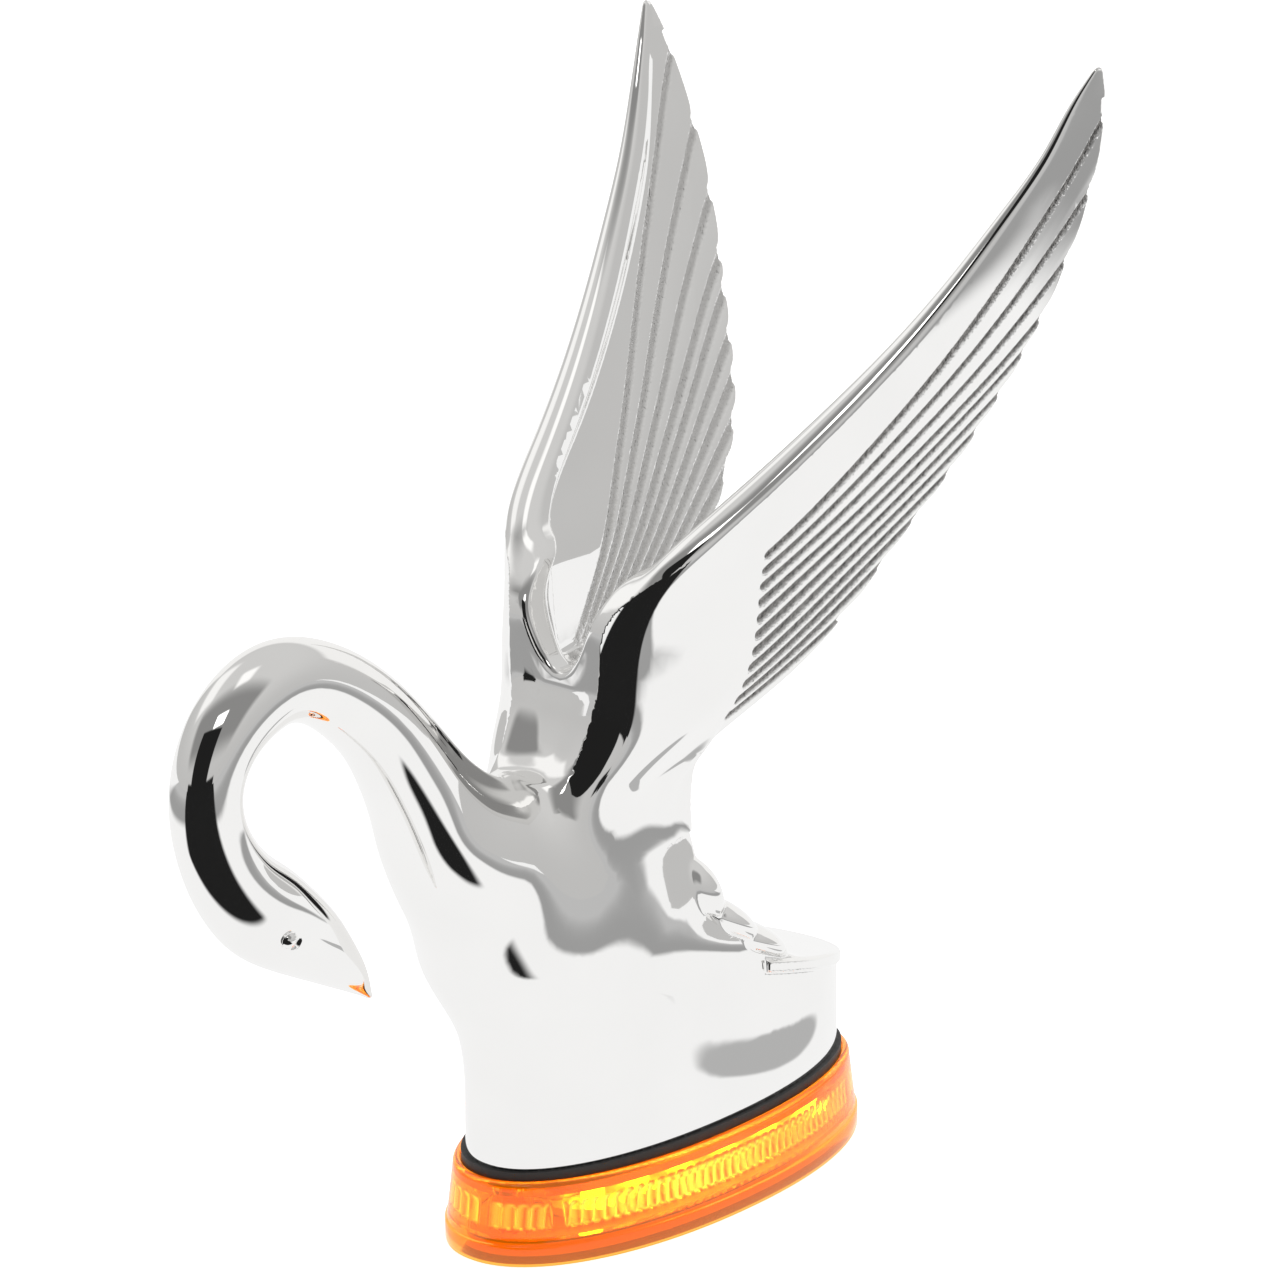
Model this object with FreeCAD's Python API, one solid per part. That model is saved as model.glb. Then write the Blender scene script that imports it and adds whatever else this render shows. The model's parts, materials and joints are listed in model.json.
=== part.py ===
import FreeCAD, Part
import math
import os

from FreeCAD import Vector

# Lighted swan hood ornament, in millimetres.
# Frame: origin at the middle of the mounting face, +X the way the swan faces,
# +Y to the swan's left, +Z up. The outside is symmetric about the XZ plane.

# ---- driving dimensions ----------------------------------------------------
BASE_HALF_LENGTH = 57.0     # lens, at its foot
BASE_HALF_WIDTH = 26.4
OVAL_POWER = 2.14           # 2 is an ellipse; a little more is a fuller oval

# Heights of the base's layers, from the hood up.
PAD_TOP = 1.5               # foam pad below this, base plate above
PLATE_TOP = 4.0
LEDGE_Z = 4.6               # lens ledge that the plate closes against
BOARD_Z = 6.0               # underside of the circuit board
BOARD_TOP = 7.6
LENS_ROOF_Z = 13.2          # inside of the lens's roof
GASKET_Z = 15.8             # gasket's seat, a recess in the lens's roof
LENS_TOP_Z = 17.4
SKIRT_Z = 19.2              # bottom edge of the casting's skirt

# How far inside the lens's foot each oval edge lies.
LENS_SHOULDER_INSET = 1.9   # outer wall, where its top edge starts to round off
LENS_RIM_INSET = 3.1
PLATE_INSET = 3.4
GASKET_INSET = 3.7
SKIRT_INSET = 4.7
LENS_INNER_FOOT = 5.4       # inner wall at the ledge, and at the roof
LENS_INNER_ROOF = 6.6
GASKET_INNER = 9.0
EDGE_GAP = 0.1              # between a plate's or gasket's edge and its recess

# Fasteners. Each kind stands on the centre line at +X and -X of its place.
MOUNT_X = 31.75             # mounting bushes, 63.5 mm apart
MOUNT_HOLE_R = 2.5          # tapped for an M6 bolt
MOUNT_HOLE_DEPTH = 12.0
BUSH_R = 5.0
BUSH_FLANGE_R = 7.5
BUSH_FOOT_Z = 0.3
BUSH_FLANGE_TOP = 1.1
BUSH_STUD_R = 2.9
SCREW_X = 44.0              # assembly screws
SCREW_R = 1.8
SCREW_HEAD_R = 3.6
BOSS_HOLE_TOP = 29.0
BOARD_SCREW_X = 14.5
LEAD_X = -7.5               # where the lead passes up to its terminal

LED_PITCH = 13.0
LED_COLUMNS = 6
LED_ROW_Y = 10.5
LED_R = 2.4
LED_BARREL_TOP = 10.3

# Clearances and the smaller fasteners.
CLEARANCE = 0.4             # screw or bush in a plain hole
MOUNT_BOSS_R = 6.5
SCREW_BOSS_R = 4.8
SCREW_POST_R = 4.0
SCREW_SEAT_R = 4.6          # sunk seat in the plate for a screw head and washer
SCREW_HEAD_Z = (0.3, 2.0)
PAD_SCREW_HOLE_R = 5.0
PAD_BUSH_HOLE_R = 8.0
LEAD_HOLE_R = 3.0
GROMMET_FLANGE_R = 4.1
GROMMET_BORE_R = 1.6
BOARD_SCREW_R = 1.25
BOARD_SCREW_HEAD_R = 2.2
SPACER_R = 2.5
BOARD_HALF = (38.5, 13.5)
BOARD_CORNER_R = 9.0
TERMINAL_HALF = (4.6, 3.5)
TERMINAL_TOP = BOARD_TOP + 5.0
TERMINAL_SCREW_X = 2.3
TERMINAL_SCREW_DEPTH = 2.2
TERMINAL_WAY_R = 1.0

# The breast and back, as level ovals: height, front X, rear X, half width.
BREAST_LEVELS = [
    (36.0, 53.0, -30.0, 21.2),
    (46.0, 55.5, -26.0, 21.2),
    (56.0, 58.8, -18.5, 21.3),
    (66.0, 59.5, -7.5, 21.4),
    (76.0, 57.0, -1.5, 21.2),
    (86.0, 51.0, 0.5, 19.4),
    (95.0, 42.5, 2.0, 15.0),
    (102.0, 36.5, 3.5, 10.0),
    (107.0, 32.0, 6.5, 5.5),
]
TAIL_TOP = [(-52.5, 37.6), (-13.0, 49.5)]    # the tail's sloping top, X and Z
CAVITY_LEVELS = [
    (33.0, 49.0, -36.0, 18.0),
    (44.0, 50.0, -24.0, 17.6),
    (55.0, 50.5, -10.0, 17.0),
    (66.0, 47.0, 2.0, 15.5),
    (77.0, 42.0, 9.0, 12.5),
]
CAVITY_LOW_TOP = 34.0

# Neck and head, as oval sections square to the centre line:
# centre X, centre Z, half height in the XZ plane, half width along Y.
NECK_STATIONS = [
    (37.5, 73.9, 25.5, 20.5),
    (48.8, 81.0, 20.6, 17.6),
    (56.5, 88.6, 16.4, 14.6),
    (61.6, 94.9, 13.6, 12.4),
    (66.2, 101.6, 11.5, 10.9),
    (71.4, 109.4, 10.1, 9.8),
    (77.6, 117.6, 9.1, 9.0),
    (86.0, 125.8, 8.6, 8.5),
    (96.2, 132.4, 8.2, 8.1),
    (106.2, 134.8, 8.2, 8.0),
    (115.0, 132.2, 8.0, 7.7),
    (121.6, 126.6, 7.4, 7.3),
    (125.0, 119.4, 7.0, 7.0),
    (125.2, 112.2, 7.1, 7.1),
    (123.0, 105.0, 7.7, 7.6),
    (118.4, 97.4, 8.8, 8.4),
    (112.4, 91.2, 9.7, 8.6),
    (105.6, 85.8, 9.0, 7.8),
    (99.0, 80.6, 7.5, 6.4),
    (93.2, 75.4, 5.5, 4.6),
    (88.0, 70.2, 3.2, 2.9),
    (84.2, 65.6, 0.8, 0.9),
]

# Left wing, as level sections: height, leading edge X and Y, trailing edge X and
# Y, thickness near the leading edge, bulge of the outer face.
WING_LEVELS = [
    (80.0, 33.0, 8.0, 10.0, 11.5, 14.0, 1.0),
    (94.0, 34.0, 8.0, 7.0, 14.0, 14.0, 1.5),
    (108.0, 33.4, 9.4, -20.0, 17.6, 13.4, 3.0),
    (120.0, 31.8, 11.6, -38.0, 20.8, 11.0, 4.0),
    (132.0, 27.4, 15.4, -49.0, 24.2, 9.0, 4.0),
    (144.0, 17.0, 21.2, -58.7, 28.5, 8.0, 3.6),
    (156.0, 1.4, 28.0, -65.0, 33.6, 7.0, 3.0),
    (168.0, -14.0, 34.2, -69.2, 39.0, 6.2, 2.6),
    (180.0, -27.4, 40.2, -72.4, 43.8, 5.4, 2.1),
    (192.0, -38.8, 45.4, -74.4, 48.1, 4.6, 1.6),
    (204.0, -48.8, 50.0, -75.0, 52.2, 3.8, 1.1),
    (216.0, -57.2, 54.6, -73.8, 56.0, 2.8, 0.6),
    (226.0, -62.6, 57.4, -71.6, 58.6, 1.9, 0.2),
    (233.0, -67.0, 60.0, -68.6, 60.1, 0.9, 0.0),
]
TRAILING_THICK = 1.6


def save(shape, node):
    """Write one sub-part's STEP file and say what it holds."""
    shape.exportStep("parts/%s.step" % node)
    print("%-18s solids %2d volume %9.1f valid %s"
          % (node, len(shape.Solids), shape.Volume, shape.isValid()))


# ---- ovals and plain solids ------------------------------------------------
def closed_curve(points):
    """A smooth closed wire through the points."""
    curve = Part.BSplineCurve()
    curve.interpolate(points, PeriodicFlag=True)
    return Part.Wire([curve.toShape()])


def oval_wire(half_length, half_width, z, centre_x=0.0):
    """A level oval, from the superellipse formula."""
    points = []
    count = 24
    for i in range(count):
        angle = 2.0 * math.pi * i / count
        c, s = math.cos(angle), math.sin(angle)
        x = math.copysign(abs(c) ** (2.0 / OVAL_POWER), c) * half_length
        y = math.copysign(abs(s) ** (2.0 / OVAL_POWER), s) * half_width
        points.append(Vector(centre_x + x, y, z))
    return closed_curve(points)


def base_oval(inset, z):
    """An oval at an even distance inside the lens's foot."""
    return oval_wire(BASE_HALF_LENGTH - inset, BASE_HALF_WIDTH - inset, z)


def oval_disc(inset, low, high):
    """A flat oval plate."""
    return Part.Face(base_oval(inset, low)).extrude(Vector(0, 0, high - low))


def oval_frustum(low_inset, low, high_inset, high):
    """An oval block with drafted sides."""
    return Part.makeLoft([base_oval(low_inset, low), base_oval(high_inset, high)], True)


def oval_ring(outer_inset, inner_inset, low, high):
    """A flat oval ring."""
    return oval_disc(outer_inset, low, high).cut(oval_disc(inner_inset, low - 1.0, high + 1.0))


def level_loft(levels):
    """A solid through level ovals of height, front X, rear X and half width."""
    wires = []
    for z, front, rear, half_width in levels:
        wires.append(oval_wire(0.5 * (front - rear), half_width, z, 0.5 * (front + rear)))
    return Part.makeLoft(wires, True)


def rod(radius, x, y, low, high):
    """An upright round bar."""
    return Part.makeCylinder(radius, high - low, Vector(x, y, low))


def lying_rod(radius, x, y, z, length):
    """A round bar lying along X, centred on x."""
    return Part.makeCylinder(radius, length, Vector(x - 0.5 * length, y, z), Vector(1, 0, 0))


def tube(outer, inner, x, y, low, high):
    """An upright round tube."""
    return rod(outer, x, y, low, high).cut(rod(inner, x, y, low - 1.0, high + 1.0))


def drilled(shape, radius, places, low, high):
    """The shape with an upright hole at each X and Y."""
    for x, y in places:
        shape = shape.cut(rod(radius, x, y, low, high))
    return shape


def pair(x):
    """The front and rear places of a pair on the centre line."""
    return [(x, 0.0), (-x, 0.0)]


def group(solids):
    """Separate solids that share a node."""
    return Part.makeCompound(solids)


# ---- swan casting ----------------------------------------------------------
def tail_and_skirt():
    """The upright oval skirt, with the tail's top sloping down to the rear."""
    top = 52.0
    block = oval_disc(SKIRT_INSET, SKIRT_Z, top)
    (rear_x, rear_z), (front_x, front_z) = TAIL_TOP
    slope = (front_z - rear_z) / (front_x - rear_x)
    behind = -80.0
    above = [
        Vector(behind, -40, rear_z + slope * (behind - rear_x)),
        Vector(front_x, -40, front_z),
        Vector(front_x, -40, top + 1.0),
        Vector(behind, -40, top + 1.0),
    ]
    outline = Part.makePolygon(above + [above[0]])
    return block.cut(Part.Face(outline).extrude(Vector(0, 80, 0)))


def neck_direction(index):
    """The centre line's direction at a station, in the XZ plane."""
    before = NECK_STATIONS[max(index - 1, 0)]
    after = NECK_STATIONS[min(index + 1, len(NECK_STATIONS) - 1)]
    return Vector(after[0] - before[0], 0, after[1] - before[1]).normalize()


def neck_solid():
    """Neck, head and beak, through oval sections square to the centre line."""
    wires = []
    count = 12
    for index, (x, z, half_height, half_width) in enumerate(NECK_STATIONS):
        along = neck_direction(index)
        up = Vector(-along.z, 0, along.x)
        points = []
        for i in range(count):
            angle = 2.0 * math.pi * i / count
            points.append(Vector(x, 0, z) + up * (half_height * math.cos(angle))
                          + Vector(0, half_width * math.sin(angle), 0))
        wires.append(closed_curve(points))
    return Part.makeLoft(wires, True)


def wing_section(z, lead_x, lead_y, trail_x, trail_y, thick, bulge):
    """One level section of the left wing: round leading edge, thin trailing edge."""
    lead = Vector(lead_x, lead_y, z)
    chord = Vector(trail_x, trail_y, z) - lead
    length = chord.Length
    across = Vector(-chord.y, chord.x, 0).normalize()
    if across.y < 0:
        across = across * -1.0
    nose = min(0.5 * thick, 0.2 * length)
    tail = min(0.5 * TRAILING_THICK, 0.08 * length)

    def at(share, offset):
        return lead + chord * share + across * offset

    side = [
        (nose / length, nose, 0.0),
        (0.35, 0.42 * thick, bulge),
        (0.70, 0.5 * TRAILING_THICK, 0.7 * bulge),
        (1.0 - tail / length, tail, 0.0),
    ]
    outer = [at(share, camber + half) for share, half, camber in side]
    inner = [at(share, camber - half) for share, half, camber in reversed(side)]
    return closed_curve([at(0.0, 0.0)] + outer + [at(1.0, 0.0)] + inner)


def wing_solid():
    """The left wing."""
    return Part.makeLoft([wing_section(*level) for level in WING_LEVELS], True)


def casting_hollow():
    """The space under the body, open at the skirt."""
    low = oval_frustum(SKIRT_INSET + 3.0, SKIRT_Z - 1.0, SKIRT_INSET + 4.0, CAVITY_LOW_TOP)
    return low.fuse(level_loft(CAVITY_LEVELS))


def casting_bosses():
    """Four bosses that stand on the lens's roof, blended into the hollow's roof."""
    tops = [
        (MOUNT_X, MOUNT_BOSS_R, 80.0),
        (-MOUNT_X, MOUNT_BOSS_R, 42.0),
        (SCREW_X, SCREW_BOSS_R, 74.0),
        (-SCREW_X, SCREW_BOSS_R, 37.5),
    ]
    return [rod(radius, x, 0, GASKET_Z, top) for x, radius, top in tops]


def swan_casting():
    """Body, neck and both wings in one casting, hollow below, with tapped bosses."""
    wing = wing_solid()
    swan = tail_and_skirt().fuse(level_loft(BREAST_LEVELS))
    swan = swan.fuse(neck_solid())
    swan = swan.fuse(wing)
    swan = swan.fuse(wing.mirror(Vector(0, 0, 0), Vector(0, 1, 0)))
    swan = swan.cut(casting_hollow())
    for boss in casting_bosses():
        swan = swan.fuse(boss)
    swan = drilled(swan, BUSH_STUD_R + EDGE_GAP, pair(MOUNT_X), GASKET_Z - 1.0, BOSS_HOLE_TOP)
    return drilled(swan, SCREW_R + EDGE_GAP, pair(SCREW_X), GASKET_Z - 1.0, BOSS_HOLE_TOP)


# ---- lens and seals --------------------------------------------------------
def swan_gasket():
    """Rubber ring between the lens's recess and the casting's skirt."""
    return oval_ring(GASKET_INSET, GASKET_INNER, GASKET_Z, SKIRT_Z)


def amber_lens():
    """Drafted oval cup with its roof up, a gasket recess and two screw posts."""
    shoulder_z = LENS_TOP_Z - 1.2
    lens = oval_frustum(0.0, 0.0, LENS_SHOULDER_INSET, shoulder_z)
    lens = lens.fuse(oval_frustum(LENS_SHOULDER_INSET, shoulder_z, LENS_RIM_INSET, LENS_TOP_Z))
    lens = lens.cut(oval_disc(GASKET_INSET - EDGE_GAP, GASKET_Z, LENS_TOP_Z + 1.0))
    lens = lens.cut(oval_disc(PLATE_INSET - EDGE_GAP, -1.0, LEDGE_Z))
    lens = lens.cut(oval_frustum(LENS_INNER_FOOT, LEDGE_Z, LENS_INNER_ROOF, LENS_ROOF_Z))
    for x, y in pair(SCREW_X):
        lens = lens.fuse(rod(SCREW_POST_R, x, y, PLATE_TOP, LENS_ROOF_Z))
    lens = drilled(lens, SCREW_R + CLEARANCE, pair(SCREW_X), 0.0, LENS_TOP_Z)
    return drilled(lens, BUSH_R + EDGE_GAP, pair(MOUNT_X), 0.0, LENS_TOP_Z)


def plate_seal():
    """Rubber ring between the plate and the lens's ledge."""
    return oval_ring(PLATE_INSET, LENS_INNER_FOOT, PLATE_TOP, LEDGE_Z)


# ---- base plate and pad ----------------------------------------------------
def base_plate():
    """Plate that closes the lens, with sunk seats for the screw heads."""
    plate = oval_disc(PLATE_INSET, PAD_TOP, PLATE_TOP)
    plate = drilled(plate, SCREW_R + CLEARANCE, pair(SCREW_X), 0.0, PLATE_TOP + 1.0)
    plate = drilled(plate, SCREW_SEAT_R, pair(SCREW_X), 0.0, PAD_TOP + 1.0)
    plate = drilled(plate, BUSH_R + EDGE_GAP, pair(MOUNT_X), 0.0, PLATE_TOP + 1.0)
    plate = drilled(plate, BOARD_SCREW_R + EDGE_GAP, pair(BOARD_SCREW_X), PAD_TOP + 0.6, PLATE_TOP + 1.0)
    return drilled(plate, LEAD_HOLE_R, [(LEAD_X, 0.0)], 0.0, PLATE_TOP + 1.0)


def mounting_pad():
    """Foam pad that lies on the hood, cut out round every head and the lead."""
    pad = oval_disc(PLATE_INSET, 0.0, PAD_TOP)
    pad = drilled(pad, PAD_SCREW_HOLE_R, pair(SCREW_X), -1.0, PAD_TOP + 1.0)
    pad = drilled(pad, PAD_BUSH_HOLE_R, pair(MOUNT_X), -1.0, PAD_TOP + 1.0)
    return drilled(pad, GROMMET_FLANGE_R + CLEARANCE, [(LEAD_X, 0.0)], -1.0, PAD_TOP + 1.0)


def lead_grommet():
    """Rubber grommet in the plate, with a flange on each side."""
    grommet = rod(LEAD_HOLE_R - EDGE_GAP, LEAD_X, 0, PAD_TOP - 1.0, PLATE_TOP + 1.0)
    grommet = grommet.fuse(rod(GROMMET_FLANGE_R, LEAD_X, 0, PAD_TOP - 1.0, PAD_TOP))
    grommet = grommet.fuse(rod(GROMMET_FLANGE_R, LEAD_X, 0, PLATE_TOP, PLATE_TOP + 1.0))
    return drilled(grommet, GROMMET_BORE_R, [(LEAD_X, 0.0)], 0.0, PLATE_TOP + 2.0)


# ---- fasteners -------------------------------------------------------------
def mounting_bush(x):
    """Flanged bush: tapped from below, with a stud that screws into its boss."""
    bush = rod(BUSH_FLANGE_R, x, 0, BUSH_FOOT_Z, BUSH_FLANGE_TOP)
    bush = bush.fuse(rod(BUSH_R, x, 0, BUSH_FLANGE_TOP, GASKET_Z))
    bush = bush.fuse(rod(BUSH_STUD_R, x, 0, GASKET_Z, BOSS_HOLE_TOP - 2.0))
    hole_top = BUSH_FOOT_Z + MOUNT_HOLE_DEPTH
    return drilled(bush, MOUNT_HOLE_R, [(x, 0.0)], BUSH_FOOT_Z - 1.0, hole_top)


def cross_slot(x, y, z, reach, depth):
    """A cross recess that opens upward from z."""
    width = 0.3 * reach
    bar = Part.makeBox(2.0 * reach, width, depth, Vector(x - reach, y - 0.5 * width, z))
    return bar.fuse(Part.makeBox(width, 2.0 * reach, depth, Vector(x - 0.5 * width, y - reach, z)))


def assembly_screw(x):
    """Screw up through plate and lens post into the casting, head below."""
    head_low, head_top = SCREW_HEAD_Z
    screw = rod(SCREW_HEAD_R, x, 0, head_low, head_top)
    screw = screw.fuse(rod(SCREW_R, x, 0, head_top, BOSS_HOLE_TOP - 2.0))
    return screw.cut(cross_slot(x, 0, head_low, 2.2, 1.0))


def assembly_washer(x):
    """Washer under an assembly screw's head, in the plate's seat."""
    return tube(SCREW_SEAT_R - CLEARANCE, SCREW_R + 0.3, x, 0, SCREW_HEAD_Z[1], PAD_TOP + 1.0)


def bush_seal(x):
    """Rubber washer between a bush's flange and the plate."""
    return tube(BUSH_FLANGE_R - 0.5, BUSH_R + EDGE_GAP, x, 0, BUSH_FLANGE_TOP, PAD_TOP)


def board_screw(x):
    """Screw down through board and spacer into the plate."""
    head_top = BOARD_TOP + 1.4
    screw = rod(BOARD_SCREW_HEAD_R, x, 0, BOARD_TOP, head_top)
    screw = screw.fuse(rod(BOARD_SCREW_R, x, 0, PAD_TOP + 1.0, BOARD_TOP))
    return screw.cut(cross_slot(x, 0, head_top - 0.7, 1.4, 0.7))


def board_spacer(x):
    """Spacer that holds the board above the plate."""
    return tube(SPACER_R, BOARD_SCREW_R + 0.15, x, 0, PLATE_TOP, BOARD_Z)


def at_pair(make, x):
    """The same piece at both places of a pair."""
    return group([make(x), make(-x)])


# ---- lamp ------------------------------------------------------------------
def led_places():
    """X and Y of every LED: two rows along the board."""
    first = -0.5 * (LED_COLUMNS - 1) * LED_PITCH
    return [(first + LED_PITCH * i, y) for y in (LED_ROW_Y, -LED_ROW_Y) for i in range(LED_COLUMNS)]


def led_board():
    """Circuit board with rounded ends, open for the bushes and the lead."""
    half_x, half_y = BOARD_HALF
    board = Part.makeBox(2 * half_x, 2 * half_y, BOARD_TOP - BOARD_Z, Vector(-half_x, -half_y, BOARD_Z))
    uprights = [edge for edge in board.Edges if abs(edge.tangentAt(edge.FirstParameter).z) > 0.9]
    board = board.makeFillet(BOARD_CORNER_R, uprights)
    board = drilled(board, BUSH_R + CLEARANCE, pair(MOUNT_X), BOARD_Z - 1.0, BOARD_TOP + 1.0)
    board = drilled(board, BOARD_SCREW_R + 0.15, pair(BOARD_SCREW_X), BOARD_Z - 1.0, BOARD_TOP + 1.0)
    return drilled(board, GROMMET_BORE_R + 0.2, [(LEAD_X, 0.0)], BOARD_Z - 1.0, BOARD_TOP + 1.0)


def led(x, y):
    """One LED: short barrel, domed top."""
    barrel = rod(LED_R, x, y, BOARD_TOP, LED_BARREL_TOP)
    dome = Part.makeSphere(LED_R, Vector(x, y, LED_BARREL_TOP))
    return barrel.fuse(dome).removeSplitter()


def led_resistors():
    """One resistor for each string of three LEDs."""
    radius = 1.1
    places = [(x, y) for x in (20.5, -20.5) for y in (3.6, -3.6)]
    return group([lying_rod(radius, x, y, BOARD_TOP + radius, 6.0) for x, y in places])


def polarity_diode():
    """Diode in the supply line, beside the terminal."""
    radius = 1.25
    return lying_rod(radius, 0.0, 5.9, BOARD_TOP + radius, 5.2)


def supply_capacitor():
    """Small can across the supply."""
    return rod(2.0, 20.5, 0.0, BOARD_TOP, BOARD_TOP + 5.0)


def lead_terminal():
    """Two-way terminal block, with two ways in from the lead's side."""
    half_x, half_y = TERMINAL_HALF
    corner = Vector(-half_x, -half_y, BOARD_TOP)
    block = Part.makeBox(2 * half_x, 2 * half_y, TERMINAL_TOP - BOARD_TOP, corner)
    low, high = TERMINAL_TOP - TERMINAL_SCREW_DEPTH, TERMINAL_TOP + 1.0
    block = drilled(block, 1.25, pair(TERMINAL_SCREW_X), low, high)
    for x, y in pair(TERMINAL_SCREW_X):
        way = Part.makeCylinder(TERMINAL_WAY_R, 3.0, Vector(x, -half_y, BOARD_TOP + 1.5), Vector(0, 1, 0))
        block = block.cut(way)
    return block


def terminal_screw(x):
    """Slotted clamp screw in the terminal block."""
    low, high = TERMINAL_TOP - TERMINAL_SCREW_DEPTH, TERMINAL_TOP - 0.3
    slot = Part.makeBox(2.6, 0.4, 0.5, Vector(x - 1.3, -0.2, high - 0.5))
    return rod(1.15, x, 0, low, high).cut(slot)


if __name__ == "__main__":
    os.makedirs("parts", exist_ok=True)
    save(swan_casting(), "swan_casting")
    save(swan_gasket(), "swan_gasket")
    save(amber_lens(), "amber_lens")
    save(plate_seal(), "plate_seal")
    save(base_plate(), "base_plate")
    save(mounting_pad(), "mounting_pad")
    save(lead_grommet(), "lead_grommet")
    save(at_pair(mounting_bush, MOUNT_X), "mounting_bushes")
    save(at_pair(bush_seal, MOUNT_X), "bush_seals")
    save(at_pair(assembly_screw, SCREW_X), "assembly_screws")
    save(at_pair(assembly_washer, SCREW_X), "assembly_washers")
    save(led_board(), "led_board")
    save(group([led(x, y) for x, y in led_places()]), "leds")
    save(led_resistors(), "led_resistors")
    save(polarity_diode(), "polarity_diode")
    save(supply_capacitor(), "supply_capacitor")
    save(lead_terminal(), "lead_terminal")
    save(at_pair(terminal_screw, TERMINAL_SCREW_X), "terminal_screws")
    save(at_pair(board_screw, BOARD_SCREW_X), "board_screws")
    save(at_pair(board_spacer, BOARD_SCREW_X), "board_spacers")
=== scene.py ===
import json
import math

import bmesh
import bpy
import numpy as np
from mathutils import Matrix, Vector


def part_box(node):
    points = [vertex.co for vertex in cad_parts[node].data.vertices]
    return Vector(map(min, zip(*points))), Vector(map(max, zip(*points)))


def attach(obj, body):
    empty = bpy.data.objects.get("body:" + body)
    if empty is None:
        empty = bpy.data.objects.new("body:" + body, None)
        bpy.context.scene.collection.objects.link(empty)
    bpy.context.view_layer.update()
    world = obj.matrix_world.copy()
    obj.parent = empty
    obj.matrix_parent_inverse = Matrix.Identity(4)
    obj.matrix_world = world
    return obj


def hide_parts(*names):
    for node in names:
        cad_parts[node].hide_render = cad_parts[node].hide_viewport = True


# Lighted swan hood ornament. Lengths are in millimetres until a mesh is made.
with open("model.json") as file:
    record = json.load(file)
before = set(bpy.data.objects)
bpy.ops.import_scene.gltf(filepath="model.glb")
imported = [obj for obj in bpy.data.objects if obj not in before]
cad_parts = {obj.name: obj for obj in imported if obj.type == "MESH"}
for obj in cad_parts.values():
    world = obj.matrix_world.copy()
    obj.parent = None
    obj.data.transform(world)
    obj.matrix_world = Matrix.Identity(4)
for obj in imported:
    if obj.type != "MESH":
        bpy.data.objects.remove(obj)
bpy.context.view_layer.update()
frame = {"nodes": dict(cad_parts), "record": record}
MM = 0.001


def node_box(name):
    """A CAD node's lowest and highest corners, in millimetres."""
    low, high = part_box(name)
    return np.array(low) / MM, np.array(high) / MM


# ---- sizes, read from the frame ----
CAST_LOW, CAST_HIGH = node_box("swan_casting")
LENS_HIGH = node_box("amber_lens")[1]
GASKET_LOW, GASKET_HIGH = node_box("swan_gasket")
PLATE_HIGH = node_box("base_plate")[1]

BASE_HALF_LENGTH = LENS_HIGH[0]
BASE_HALF_WIDTH = LENS_HIGH[1]
SKIRT_Z = CAST_LOW[2] if CAST_LOW[2] > GASKET_HIGH[2] - 0.1 else GASKET_HIGH[2]
SKIRT_INSET = 4.7
SKIRT_HALF_LENGTH = BASE_HALF_LENGTH - SKIRT_INSET
SKIRT_HALF_WIDTH = BASE_HALF_WIDTH - SKIRT_INSET
OVAL_POWER = 2.14           # of the base's oval: 2 is an ellipse, more is squarer
WING_TOP = CAST_HIGH[2]

# ---- sizes of the casting's shape ----
# Breast: height, front X, half width.
BREAST = [
    (19.0, 52.3, 21.7), (28.0, 52.2, 21.7), (36.0, 52.4, 21.6), (44.0, 53.9, 21.6), (52.0, 56.8, 21.4),
    (58.0, 58.6, 20.9), (64.0, 59.3, 19.9), (70.0, 58.8, 18.4), (76.0, 56.6, 16.6), (84.0, 51.6, 14.2),
    (92.0, 45.0, 12.0), (100.0, 38.0, 9.6), (108.0, 31.0, 7.5),
]
# Upper body behind the breast: height, rear X.
BACK = [(45.0, -14.0), (56.0, -7.0), (64.0, -2.5), (72.0, -1.0), (84.0, 1.0), (96.0, 4.0), (108.0, 8.0)]
BACK_CENTRE_X = 30.0
BACK_HALF_WIDTH = 26.0
BACK_POWER = 2.3
BACK_OVERLAP = 8.0          # the sides' oval reaches this far behind the back
SADDLE_TOP = 95.5
SKIRT_TOP = 44.0            # above this the skirt's oval turns into the body's
BODY_BLEND = 22.0
BODY_SQUARER = 0.9          # added to the oval's power at mid height
SQUARER_TO_Z = 60.0         # and fading from here
SQUARER_FADE = 30.0

# Tail: two points (X, Z) of its flat top, the slope that the petals lie on, and the plate.
TAIL_TOP = ((-52.5, 38.0), (-13.0, 49.5))
PETAL_RAMP_X = -22.0
PETAL_RAMP_Z = 47.5
PETAL_RAMP = 0.6
PLATE_FRONT_X = -11.0
PLATE_THICK = 2.4
PLATE_PROUD_REAR = 0.7
PLATE_PROUD_SIDE = 0.9
# Petals on the left: centre, half sizes, and how far the rear end drops.
PETALS = [
    ((3.0, 12.5, 66.5), (6.5, 7.5, 8.5), 0.5),
    ((-4.5, 13.0, 58.8), (8.5, 8.8, 5.4), 0.55),
    ((-11.5, 13.0, 53.2), (10.5, 9.6, 4.6), 0.45),
]
PETAL_UNDERSIDE = 0.35      # depth of the flat underside over the half height

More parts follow.
